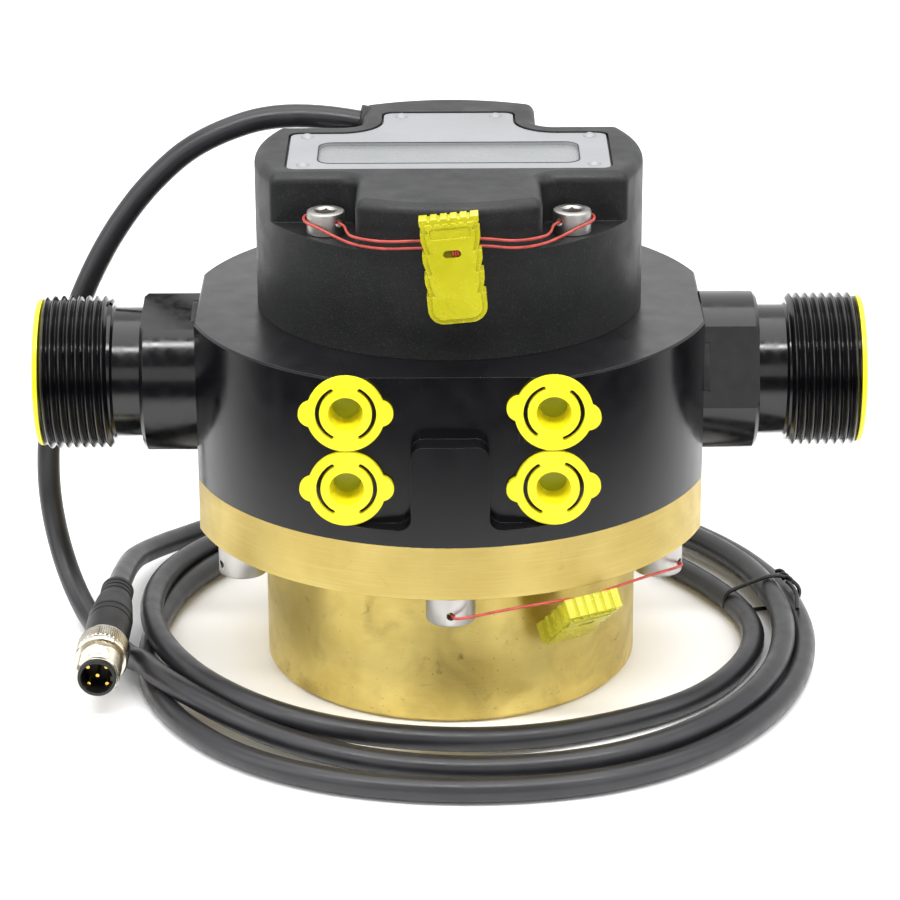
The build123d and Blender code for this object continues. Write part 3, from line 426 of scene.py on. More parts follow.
class FinishBook:
    """Every finish of the meter, built once."""

    def __init__(self) -> None:
        """Builds the materials."""
        # name, two tones, blotch, roughness range, metallic, grain, its depth and edge rounding, then extras
        finishes = [
            MottledBrass("machined_brass", "#E9D380", "#D8C06C", 14, 0.38, 0.46, 1.0, 0.5, 0.004, 0.3),
            MilledAnodise("black_anodised_aluminium", "#07070A", "#0B0B0E", 20, 0.14, 0.24, 0.0, 0.4, 0.0008, 0.25),
            Finish("black_anodised_thread", "#060608", "#0B0B0D", 9, 0.12, 0.24, 0.0, 0.5, 0.002, 0.12),
            MouldedGrain("grained_black_plastic", "#0A0B0C", "#101112", 25, 0.42, 0.56, 0.0, 0.3, 0.012, 0.42),
            SoftPlastic("yellow_polyethylene", "#F1E822", "#EADF16", 10, 0.3, 0.42, 0.0, 0.8, 0.006, 0.3),
            DishedPlastic("yellow_plug_plastic", "#F0E624", "#E9DD18", 10, 0.3, 0.42, 0.0, 0.8, 0.006, 0.3),
            ClearPlastic("clear_yellow_plastic", "#DCD62E", "#D0CA22", 6, 0.14, 0.3, 0.0, 0.6, 0.01, 0.2, 0.3),
            ClearPlastic("yellow_rotor_plastic", "#B5AE1C", "#A09A18", 4, 0.2, 0.35, 0.0, 0.6, 0.01, 0.2, 0.3),
            Finish("satin_stainless_steel", "#B9B7B3", "#AEACA8", 9, 0.34, 0.46, 1.0, 0.3, 0.001, 0.2),
            BrushedPlate("satin_silver_plate", "#8F8F92", "#88898B", 30, 0.42, 0.52, 0.25, 0.3, 0.001, 0.1),
            ClearPlastic("window_panel", "#7D8080", "#777A7A", 20, 0.24, 0.32, 0.0, 2.0, 0.0, 0.1, 0.1),
            Finish("liquid_crystal_grey", "#A5AAA6", "#9DA39F", 30, 0.3, 0.4),
            Finish("green_circuit_board", "#12532E", "#0E4626", 6, 0.35, 0.5),
            Finish("blue_shrink_sleeve", "#234F8E", "#1D447D", 8, 0.3, 0.4),
            Finish("machined_carbon", "#1E1E1F", "#29292A", 3, 0.45, 0.6),
            BrushedPlate("bearing_bronze", "#9A6A38", "#84582B", 4, 0.3, 0.45, 1.0),
            BrushedPlate("plated_magnet", "#8E8F92", "#7F8083", 5, 0.2, 0.3, 1.0),
            Finish("black_rubber", "#141415", "#1A1A1B", 5, 0.55, 0.75, 0.0, 0.3, 0.01),
            Finish("black_cable_jacket", "#1C1C1F", "#242427", 16, 0.3, 0.44, 0.0, 0.7, 0.01, 0.1),
            Finish("red_coated_wire", "#B8483D", "#9C362C", 3, 0.3, 0.45, 0.1, 0.3, 0.004, 0.05),
            Finish("black_coated_tie", "#101011", "#18181A", 3, 0.35, 0.5, 0.0, 0.3, 0.006, 0.05),
            Finish("nickel_plate", "#D8D2C4", "#C4BDAE", 3, 0.14, 0.28, 1.0, 0.3, 0.002, 0.08),
            Finish("gold_plate", "#E2B95A", "#D3A645", 2, 0.12, 0.22, 1.0, 0.2, 0.001, 0.05),
        ]
        self.materials = {finish.name: finish.build() for finish in finishes}

    def dress(self, obj: Object, name: str) -> None:
        """Gives an object one finish."""
        obj.data.materials.clear()
        obj.data.materials.append(self.materials[name])


CAD_FINISHES = {
    "machined_brass": ["base_cup"],
    "black_anodised_aluminium": ["housing"],
    "grained_black_plastic": ["top_cover", "connector_body", "connector_insert"],
    "yellow_polyethylene": ["inlet_cap", "outlet_cap"],
    "yellow_plug_plastic": ["upper_left_plug", "lower_left_plug", "upper_right_plug", "lower_right_plug"],
    "clear_yellow_plastic": ["upper_seal_tag", "lower_seal_tag"],
    "yellow_rotor_plastic": ["upper_seal_rotor", "lower_seal_rotor"],
    "satin_stainless_steel": ["inlet_strainer", "partition_plate", "piston_crank", "bearing_bridge"],
    "satin_silver_plate": ["faceplate", "faceplate_rivets"],
    "window_panel": ["display_window"],
    "liquid_crystal_grey": ["display_module"],
    "green_circuit_board": ["circuit_board"],
    "blue_shrink_sleeve": ["battery"],
    "machined_carbon": ["chamber_liner", "chamber_cover", "ring_piston", "field_sensor"],
    "bearing_bronze": ["shaft_bush"],
    "plated_magnet": ["drive_magnet"],
    "black_rubber": ["housing_seal", "fitting_seals", "cover_gasket", "cable_grommet"],
    "nickel_plate": ["board_standoffs"],
    "gold_plate": ["connector_pins"],
}


def select_only(obj: Object) -> None:
    """Makes one object the only selected and active one.

    Args:
        obj: Object to select.
    """
    bpy.ops.object.select_all(action="DESELECT")
    obj.select_set(True)
    bpy.context.view_layer.objects.active = obj


def applied(obj: Object) -> Object:
    """Applies every modifier of an object.

    Args:
        obj: Mesh object.

    Returns:
        The same object.
    """
    select_only(obj)
    for modifier in list(obj.modifiers):
        bpy.ops.object.modifier_apply(modifier=modifier.name)
    return obj


def stand(obj: Object, matrix: Matrix) -> Object:
    """Puts an object in place and leaves it unturned at the origin.

    Args:
        obj: Object that was made at the origin.
        matrix: Its place, in metres.

    Returns:
        The same object.
    """
    obj.matrix_world = matrix
    select_only(obj)
    bpy.ops.object.transform_apply(location=True, rotation=True, scale=True)
    return obj


def joined(objects: Sequence[Object], name: str) -> Object:
    """Joins several meshes into one named piece.

    Args:
        objects: Meshes to join.
        name: Name of the piece.

    Returns:
        The joined object.
    """
    bpy.ops.object.select_all(action="DESELECT")
    for obj in objects:
        obj.select_set(True)
    bpy.context.view_layer.objects.active = objects[0]
    if len(objects) > 1:
        bpy.ops.object.join()
    objects[0].name = name
    return objects[0]


def smooth(obj: Object, angle: float) -> Object:
    """Shades a mesh smooth but for its sharp edges.

    Args:
        obj: Mesh object.
        angle: Sharpest edge that is still smoothed, in degrees.

    Returns:
        The same object.
    """
    select_only(obj)
    bpy.ops.object.shade_smooth_by_angle(angle=math.radians(angle))
    return obj


@contextmanager
def editing(obj: Object) -> Iterator[None]:
    """Edit mode on one object with everything selected, then object mode again.

    Args:
        obj: Mesh object.

    Returns:
        Context that ends back in object mode.
    """
    select_only(obj)
    bpy.ops.object.mode_set(mode="EDIT")
    bpy.ops.mesh.select_all(action="SELECT")
    yield
    bpy.ops.object.mode_set(mode="OBJECT")


def tidy_normals(obj: Object, merge_mm: float = 0.002) -> Object:
    """Merges doubled vertices and turns all faces outward.

    Args:
        obj: Mesh object.
        merge_mm: Merge distance.

    Returns:
        The same object.
    """
    with editing(obj):
        bpy.ops.mesh.remove_doubles(threshold=merge_mm * MM)
        bpy.ops.mesh.normals_make_consistent(inside=False)
    return obj


def linked(name: str, data: object) -> Object:
    """New object in the scene.

    Args:
        name: Name of the object.
        data: Mesh, curve, light or camera.

    Returns:
        The object.
    """
    obj = bpy.data.objects.new(name, data)
    bpy.context.collection.objects.link(obj)
    return obj


def swept(obj: Object, steps: int, rise_mm: float = 0.0, turns: int = 1) -> Object:
    """Turns a wire profile about Z.

    Args:
        obj: Object with edges only.
        steps: Faces round the axis.
        rise_mm: Climb of one turn.
        turns: Number of turns.

    Returns:
        The same object, now with faces.
    """
    screw = obj.modifiers.new("turn", "SCREW")
    screw.angle = FULL_TURN
    screw.screw_offset = rise_mm * MM
    screw.iterations = turns
    screw.steps = screw.render_steps = steps
    screw.use_merge_vertices = True
    screw.merge_threshold = 1e-6
    return applied(obj)


def around(radius: float, degrees: float, height: float = 0.0) -> Point:
    """Point on a circle about Z at a height over its centre, in the unit of the radius."""
    angle = math.radians(degrees)
    return radius * math.cos(angle), radius * math.sin(angle), height


def profile_object(points: Sequence[tuple[float, float]], closed: bool, name: str) -> Object:
    """Wire profile in the XZ plane from (radius, height) in millimetres, closed if wanted.

    Args:
        points: Corners.
        closed: Whether the last corner joins the first.
        name: Name of the object.

    Returns:
        Object with edges only.
    """
    verts = [(r * MM, 0.0, h * MM) for r, h in points]
    edges = [(i, i + 1) for i in range(len(points) - 1)]
    if closed:
        edges.append((len(points) - 1, 0))
    mesh = bpy.data.meshes.new(name)
    mesh.from_pydata(verts, edges, [])
    return linked(name, mesh)


def turned(points: Sequence[tuple[float, float]], name: str, steps: int) -> Object:
    """Solid of revolution about Z from (radius, height) in millimetres."""
    return tidy_normals(swept(profile_object(points, True, name), steps))


def cut_away(obj: Object, cutters: Sequence[Object]) -> Object:
    """Cuts shapes out of a mesh and removes the cutters.

    Args:
        obj: Mesh to cut.
        cutters: Closed meshes.

    Returns:
        The same object.
    """
    for cutter in cutters:
        modifier = obj.modifiers.new("cut", "BOOLEAN")
        modifier.operation = "DIFFERENCE"
        modifier.solver = "EXACT"
        modifier.object = cutter
    applied(obj)
    for cutter in cutters:
        bpy.data.objects.remove(cutter, do_unlink=True)
    return obj


def cylinder(radius_mm: float, length_mm: float, vertices: int, place: Matrix) -> Object:
    """Cylinder along Z from its foot, then put in place; with few vertices a prism.

    Args:
        radius_mm: Radius to the corners.
        length_mm: Height.
        vertices: Sides.
        place: Matrix in metres.

    Returns:
        Mesh object.
    """
    bpy.ops.mesh.primitive_cylinder_add(vertices=vertices, radius=radius_mm * MM, depth=length_mm * MM,
                                        location=(0, 0, length_mm * MM / 2))
    obj = bpy.context.object
    stand(obj, obj.matrix_world.copy())
    return stand(obj, place)


def thread_sleeve(major_mm: float, minor_mm: float, pitch_mm: float, start_mm: float, end_mm: float,
                  lead_in_mm: float, steps: int = 96) -> Object:
    """Helical thread ridge with a rounded section and chamfered ends, along Z.

    Args:
        major_mm: Crest radius.
        minor_mm: Root radius.
        pitch_mm: Pitch.
        start_mm: Height of the first end.
        end_mm: Height of the other end.
        lead_in_mm: Length of each chamfer.
        steps: Faces round the axis.

    Returns:
        Mesh object.
    """
    shares = (0.0, 0.16, 0.28, 0.38, 0.5, 0.62, 0.72, 0.84, 1.0)
    fullness = 0.8
    depth = major_mm - minor_mm
    ridge = [(minor_mm + depth * (0.5 - 0.5 * math.cos(FULL_TURN * share)) ** fullness,
              start_mm + (share - 0.5) * pitch_mm) for share in shares]
    turns = math.ceil((end_mm - start_mm) / pitch_mm) + 1
    obj = swept(profile_object(ridge, False, "thread"), steps, pitch_mm, turns)
    for vertex in obj.data.vertices:
        height = min(max(vertex.co.z / MM, start_mm), end_mm)
        limit = minor_mm + depth * min(1.0, min(height - start_mm, end_mm - height) / lead_in_mm)
        radius = math.hypot(vertex.co.x, vertex.co.y) / MM
        factor = min(radius, limit) / radius
        vertex.co = Vector((vertex.co.x * factor, vertex.co.y * factor, height * MM))
    return tidy_normals(obj)


def moved(point: Point) -> Matrix:
    """Matrix of a shift."""
    return Matrix.Translation(tuple(c * MM for c in point))


def plane_matrix(origin: Point, x_dir: Point, z_dir: Point) -> Matrix:
    """Matrix in metres of a plane as in the part's source, with its origin in millimetres.

    Args:
        origin: Millimetres.
        x_dir: Local X, before it is made square to Z.
        z_dir: Local Z.

    Returns:
        Matrix in metres.
    """
    z = Vector(z_dir).normalized()
    x = Vector(x_dir)
    x = (x - x.dot(z) * z).normalized()
    y = z.cross(x)
    matrix = Matrix((x, y, z)).transposed().to_4x4()
    matrix.translation = Vector(origin) * MM
    return matrix


UPPER_TAG_PLACE = (0.6, -53.45, 136.0)
UPPER_TAG_LEAN = 5.6


def lower_tag_matrix() -> Matrix:
    """Frame of the lower tag: X along its wires, Y to its top, Z out of its face."""
    return plane_matrix(around(68.4, -59.6, 37.9), (0.91, 0.40, 0.07), (0.29, -0.54, -0.79))


def spline_object(points: Sequence[Point], radius_mm: float, name: str, resolution: int, sides: int) -> Object:
    """Smooth round cord with the given control points.

    Args:
        points: Control points in millimetres.
        radius_mm: Radius of the cord.
        name: Name of the piece.
        resolution: Steps between points.
        sides: Quarter resolution of the section.

    Returns:
        Curve object.
    """
    curve = bpy.data.curves.new(name, "CURVE")
    curve.dimensions = "3D"
    curve.resolution_u = resolution
    curve.bevel_depth = 1.0
    curve.bevel_resolution = sides
    curve.use_fill_caps = True
    spline = curve.splines.new("NURBS")
    spline.points.add(len(points) - 1)
    for target, point in zip(spline.points, points):
        target.co = (*(c * MM for c in point), 1.0)
        target.radius = radius_mm * MM
    spline.order_u = 3
    spline.use_endpoint_u = True
    return linked(name, curve)


def meshed(curves: Sequence[Object], name: str) -> Object:
    """Turns curves into one mesh.

    Args:
        curves: Curves to convert.
        name: Name of the mesh.

    Returns:
        Mesh object.
    """
    meshes = []
    for curve in curves:
        select_only(curve)
        bpy.ops.object.convert(target="MESH")
        meshes.append(bpy.context.object)
    return joined(meshes, name)


def length_of(obj: Object) -> float:
    """Length of a curve's own line, in metres.

    Args:
        obj: Curve object.

    Returns:
        Length in metres.
    """
    depth = obj.data.bevel_depth
    obj.data.bevel_depth = 0.0
    bpy.context.view_layer.update()
    mesh = bpy.data.meshes.new_from_object(obj.evaluated_get(bpy.context.evaluated_depsgraph_get()))
    points = [v.co.copy() for v in mesh.vertices]
    bpy.data.meshes.remove(mesh)
    obj.data.bevel_depth = depth
    return sum((b - a).length for a, b in zip(points, points[1:]))


@dataclass
class Piece:
    """Base of the sub-assemblies: it keeps the finishes and files each piece away."""

    book: FinishBook

    def file(self, obj: Object, finish: str, body: Body, slot: Slot, replaces: Sequence[str] = ()) -> Object:
        """Dresses a piece, lets it ride and logs it.

        Args:
            obj: The new piece.
            finish: Name of its finish.
            body: Body that it rides on.
            slot: Material slot of the record, not used.
            replaces: CAD nodes that it stands for.

        Returns:
            The piece.
        """
        self.book.dress(obj, finish)
        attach(obj, body.value)
        if replaces:
            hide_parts(*replaces)
        LOG.info("piece %s: %s on %s", obj.name, finish, body.value)
        return obj


@dataclass
class PipeFittings(Piece):
    """Both screwed fittings with their threads and wrench flats, in millimetres from the side flat."""

    side_flat: float = 68.1
    port_z: float = 82.5
    stub_radius: float = 16.6
    stub_length: float = 14.0
    collar_radius: float = 21.5
    collar_length: float = 15.3
    collar_chamfer: float = 1.0
    wrench_half: float = 18.5
    neck_radius: float = 17.7
    neck_length: float = 8.1
    neck_flare: float = 0.6
    thread_radius: float = 20.955
    root_radius: float = 19.48
    thread_sunk: float = 0.02
    thread_length: float = 19.4
    pitch: float = 2.309
    lead_in: float = 1.3
    end_lip: float = 0.05
    end_chamfer: float = 0.25
    bore_radius: float = 13.5
    bore_chamfer: float = 0.4
    seal_depth: float = 1.8
    seal_inset: float = 0.5
    seal_reach: float = 3.0
    overlap: float = 0.5
    sides: tuple = (("inlet", -1, -8.4), ("outlet", 1, -111.0))

    def collar(self, flat_angle: float) -> Object:
        """Collar with two wrench flats.

        Args:
            flat_angle: Turn of the first flat about the axis, in degrees.

        Returns:
            Mesh object.
        """
        inner, edge, length = self.bore_radius, self.collar_radius, self.collar_length
        near, far = self.stub_radius - self.seal_inset, self.stub_radius + self.seal_reach
        obj = turned([(inner, 0), (near, 0), (near, self.seal_depth), (far, self.seal_depth), (far, 0), (edge, 0),
                      (edge, length - self.collar_chamfer), (edge - self.collar_chamfer, length),
                      (inner, length)], "collar", steps=160)
        with editing(obj):
            for turn in (0, 180):
                direction = Vector(around(1.0, flat_angle + turn))
                bpy.ops.mesh.select_all(action="SELECT")
                bpy.ops.mesh.bisect(plane_co=direction * self.wrench_half * MM, plane_no=direction,
                                    use_fill=True, clear_outer=True)
        return obj

    def barrel(self) -> Object:
        """Stub, neck and thread core.

        Returns:
            Mesh object.
        """
        neck_end = self.collar_length + self.neck_length
        end = neck_end + self.thread_length
        inner, stub, neck, root = self.bore_radius, self.stub_radius, self.neck_radius, self.root_radius
        return turned([(inner, -self.stub_length), (stub, -self.stub_length), (stub, self.overlap),
                       (neck, self.overlap), (neck, neck_end - self.neck_flare),
                       (neck + self.neck_flare, neck_end), (root, neck_end), (root, end - self.end_lip),
                       (root - self.end_chamfer, end), (inner + self.bore_chamfer, end),
                       (inner, end - self.bore_chamfer)], "barrel", steps=128)

    def build(self) -> None:
        """Builds both fittings and stands them in the side flats."""
        neck_end = self.collar_length + self.neck_length
        for name, side, angle in self.sides:
            thread = thread_sleeve(self.thread_radius, self.root_radius - self.thread_sunk, self.pitch, neck_end,
                                   neck_end + self.thread_length, self.lead_in)
            obj = joined([self.collar(angle), self.barrel(), thread], f"{name}_fitting_body")
            turn = Matrix.Rotation(math.radians(side * 90), 4, "Y")
            smooth(stand(obj, moved((side * self.side_flat, 0, self.port_z)) @ turn), angle=28)
            self.file(obj, "black_anodised_thread", Body.METER, Slot.ANODISED, [f"{name}_fitting"])


@dataclass(frozen=True)
class ScrewSize:
    """Sizes of a socket head cap screw, with its drilled cross hole at hole_rise above the seat."""

    head_radius: float
    head_height: float
    key: float
    shank_radius: float
    shank: float
    hole_rise: float


@dataclass
class CapScrews(Piece):
    """Socket head cap screws of the cover and of the flange, in millimetres."""

    cover_size: ScrewSize = ScrewSize(5.0, 6.0, 5.0, 2.95, 40.6, 3.5)
    cover_offset: float = 32.0
    cover_floor: float = 132.3
    flange_size: ScrewSize = ScrewSize(6.5, 8.0, 6.0, 3.95, 34.5, 4.8)
    flange_circle: float = 64.6
    flange_foot: float = 44.9
    angles: tuple = (-90.0, -30.0, 30.0, 90.0, 150.0, 210.0)
    chamfer: float = 0.6
    foot_round: float = 0.2
    crown: tuple = ((0.0, 0.6), (0.15, 0.2), (0.55, 0.0))
    mouth_out: float = 0.25
    mouth_in: float = 0.35
    socket_floor: float = 0.3
    hole_radius: float = 1.1

    def screw(self, size: ScrewSize, hole_turn: float) -> Object:
        """One screw with its seat at the origin and its head upward.

        Args:
            size: Sizes of the screw.
            hole_turn: Direction of the cross hole, in degrees.

        Returns:
            Mesh object.
        """
        corner, head, top = size.key / math.sqrt(3), size.head_radius, size.head_height
        shank, foot, low = size.shank_radius, -size.shank, size.head_height - self.chamfer
        obj = turned([(0, foot), (shank - self.chamfer, foot), (shank, foot + self.chamfer), (shank, 0),
                      (head - self.foot_round, 0), (head, self.foot_round),
                      *((head - inward, top - down) for inward, down in self.crown),
                      (corner + self.mouth_out, top), (corner - self.mouth_in, low), (0, low)], "screw", steps=96)
        socket = cylinder(corner, top, 6, moved((0, 0, top * self.socket_floor)))
        turn = Matrix.Rotation(math.radians(hole_turn), 4, "Z") @ Matrix.Rotation(math.pi / 2, 4, "Y")
        hole = cylinder(self.hole_radius, 4 * head, 24, moved((0, 0, size.hole_rise)) @ turn @ moved((0, 0, -2 * head)))
        return smooth(cut_away(obj, [socket, hole]), angle=30)

    def build(self) -> None:
        """Builds the four cover screws and the six flange screws."""
        cover = [stand(self.screw(self.cover_size, -45 * sx * sy),
                       moved((sx * self.cover_offset, sy * self.cover_offset, self.cover_floor)))
                 for sx, sy in ((-1, -1), (1, -1), (1, 1), (-1, 1))]
        flange = []
        for angle in self.angles:
            flip = Matrix.Rotation(math.radians(angle), 4, "Z") @ Matrix.Rotation(math.pi, 4, "X")
            place = moved(around(self.flange_circle, angle, self.flange_foot)) @ flip
            flange.append(stand(self.screw(self.flange_size, 0.0), place))
        for name, heads in (("cover_screw", cover), ("flange_screw", flange)):
            self.file(joined(heads, f"{name}_set"), "satin_stainless_steel", Body.METER, Slot.STEEL, [f"{name}s"])


@dataclass
class SignalCable(Piece):
    """Cable from its exit, down, three times round the base and back to the connector.

    The coil is given as (radius, height) at every spoke, in millimetres.
    """

    radius: float = 3.3
    lead: tuple = (
        (-25.0, 41.8, 141.2), (-44.5, 41.2, 145.2), (-69.0, 40.2, 137.4), (-83.4, 39.4, 125.2),
        (-94.2, 38.4, 111.2), (-102.4, 37.4, 96.2), (-108.6, 36.4, 80.3), (-113.0, 35.0, 63.5),
        (-115.2, 33.9, 49.5), (-115.6, 33.0, 34.1), (-112.8, 27.9, 20.0), (-107.6, 18.4, 9.2),
        (-100.8, 5.9, 3.3), (-93.6, -7.5, 3.3), (-88.9, -15.5, 3.3), (-84.6, -25.9, 7.5),
    )
    first_spoke: float = 210.0
    spoke_step: float = 30.0
    fullness: float = 1.034
    coil: tuple = (
        (86.3, 9.8), (83.6, 5.0), (85.6, 3.6), (94.4, 6.2), (93.9, 6.6), (93.3, 6.9),
        (95.6, 6.6), (98.5, 6.0), (99.5, 4.5), (97.0, 4.0), (91.0, 7.0), (84.0, 9.9),
        (79.8, 10.2), (78.5, 9.0), (70.0, 4.5), (71.0, 3.3), (80.2, 3.3), (86.5, 3.3),
        (81.5, 3.3), (82.0, 3.3), (88.0, 3.3), (88.0, 3.3), (85.5, 3.3), (82.9, 3.3),
        (90.2, 3.3), (96.2, 3.3), (97.2, 3.3), (101.4, 3.3), (99.6, 3.3), (99.0, 3.3),
        (101.5, 3.3), (106.0, 3.3), (108.0, 3.3),
    )
    tail: tuple = (
        (-63.0, 88.0, 3.4), (-78.0, 72.0, 4.4), (-89.0, 52.0, 8.0), (-94.2, 32.0, 12.0), (-94.3, 6.5, 14.2),
    )
    tie_radius: float = 0.6
    tie_spoke: float = 14.0
    tie_section: tuple = ((80.9, 2.6), (80.7, 6.6), (85.3, 8.4), (94.0, 11.0), (98.8, 10.6),
                          (103.9, 6.8), (103.9, 2.6), (99.3, 0.8), (85.3, 0.8))
    tie_knot: Point = (95.0, 29.5, 9.6)
    tie_end: Point = (97.6, 22.5, 9.4)
    tie_tail: tuple = ((98.6, 17.0, 9.2), (99.0, 12.0, 8.2), (98.4, 7.0, 7.4))
    twist_radius: float = 0.7
    twist_turns: float = 1.5
    twist_steps: int = 12

    def route(self) -> list[Point]:
        """Control points from the exit to the connector.

        Returns:
            Points in millimetres.
        """
        coil = [around(radius * self.fullness, self.first_spoke + self.spoke_step * spoke, height)
                for spoke, (radius, height) in enumerate(self.coil)]
        return [*self.lead, *coil, *self.tail]

    def build(self) -> None:
        cable = spline_object(self.route(), self.radius, "signal_cable", resolution=10, sides=5)
        self.file(cable, "black_cable_jacket", Body.METER, Slot.JACKET, ["cable_lead", "cable_coil", "cable_tail"])
        length = length_of(cable)
        LOG.info("cable length %.3f m", length)
        pieces = [self.tie()] + [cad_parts[n] for n in ("connector_body", "connector_insert", "connector_pins")]
        pieces.append(bpy.data.objects["coupling_nut"])

    def tie(self) -> Object:
        """Wire tie round the three turns, with its twisted end.

        Returns:
            Mesh object.
        """
        loop = [around(radius, self.tie_spoke, height) for radius, height in (*self.tie_section, self.tie_section[0])]
        curves = [spline_object(loop, self.tie_radius, "tie_loop", resolution=8, sides=3)]
        knot, run = Vector(self.tie_knot), Vector(self.tie_end) - Vector(self.tie_knot)
        side = run.cross(Vector((0, 0, 1))).normalized()
        top = side.cross(run.normalized())
        for phase, tail in ((0.0, ()), (math.pi, self.tie_tail)):
            points = []
            for step in range(self.twist_steps + 1):
                share = step / self.twist_steps
                turn = phase + share * self.twist_turns * FULL_TURN
                out = side * math.cos(turn) + top * math.sin(turn)
                points.append(tuple(knot + run * share + out * self.twist_radius))
            curves.append(spline_object([*points, *tail], self.tie_radius, "tie_strand", resolution=6, sides=3))
        return self.file(meshed(curves, "wire_tie"), "black_coated_tie", Body.METER, Slot.TIE, ["cable_tie"])


@dataclass
class Connector(Piece):
    """Coupling nut with its diamond knurl and threaded sleeve, in millimetres from the plug's face."""

    face: Point = (-95.1, -48.2, 12.3)
    back: Point = (-94.3, 6.5, 14.2)
    inner_radius: float = 5.25
    core_radius: float = 5.38
    sleeve_radius: float = 6.0
    groove_radius: float = 6.8
    band_radius: float = 7.2
    nut_radius: float = 7.3
    nose: float = 1.2
    thread_length: float = 9.5
    thread_depth: float = 0.6
    thread_pitch: float = 1.0
    lead_in: float = 0.6
    runout: float = 1.2
    nut_length: float = 8.6
    band: tuple = (0.4, 1.6, 1.8)
    knurl_start: float = 2.2
    knurl_margin: float = 2.8
    knurl_foot: float = 2.0
    skin: float = 0.02
    row_step: float = 0.28
    ridges: int = 36
    ridge_pitch: float = 1.12
    ridge_share: float = 0.012

    def profile(self) -> list[tuple[float, float]]:
        """Half section of the nut and its sleeve.

        Returns:
            Corners as (radius, height).
        """
        start = self.nose + self.thread_length
        end = start + self.nut_length
        rows = int((self.nut_length - self.knurl_margin) / self.row_step)
        low, high, edge = (start + rise for rise in self.band)
        return [(self.inner_radius, self.nose), (self.core_radius, self.nose), (self.core_radius, start),
                (self.groove_radius, start), (self.band_radius, low), (self.band_radius, high),
                (self.groove_radius, edge),
                *((self.nut_radius, start + self.knurl_start + row * self.row_step) for row in range(rows)),
                (self.groove_radius, end), (self.inner_radius, end)]

    def knurl(self, obj: Object) -> None:
        """Presses crossing grooves into the outer rows of the nut.

        Args:
            obj: Mesh of the nut, at the origin.
        """
        start = self.nose + self.thread_length + self.knurl_foot
        for vertex in obj.data.vertices:
            radius, height = math.hypot(vertex.co.x, vertex.co.y) / MM, vertex.co.z / MM
            if radius > self.nut_radius - self.skin and height > start:
                angle = self.ridges * math.atan2(vertex.co.y, vertex.co.x)
                climb = FULL_TURN * height / self.ridge_pitch
                factor = 1 - self.ridge_share * (2 + math.cos(angle + climb) + math.cos(angle - climb))
                vertex.co.x *= factor
                vertex.co.y *= factor

    def build(self) -> None:
        """Builds the nut and stands it on the connector's axis."""
        obj = turned(self.profile(), "nut", steps=144)
        self.knurl(obj)
        thread = thread_sleeve(self.sleeve_radius, self.sleeve_radius - self.thread_depth, self.thread_pitch,
                               self.nose, self.nose + self.thread_length - self.runout, self.lead_in, steps=72)
        nut = joined([obj, thread], "coupling_nut")
        axis = Vector(self.back) - Vector(self.face)
        smooth(stand(nut, plane_matrix(self.face, (1, 0, 0), tuple(axis))), angle=40)
        self.file(nut, "nickel_plate", Body.NUT, Slot.NICKEL, ["connector_nut"])


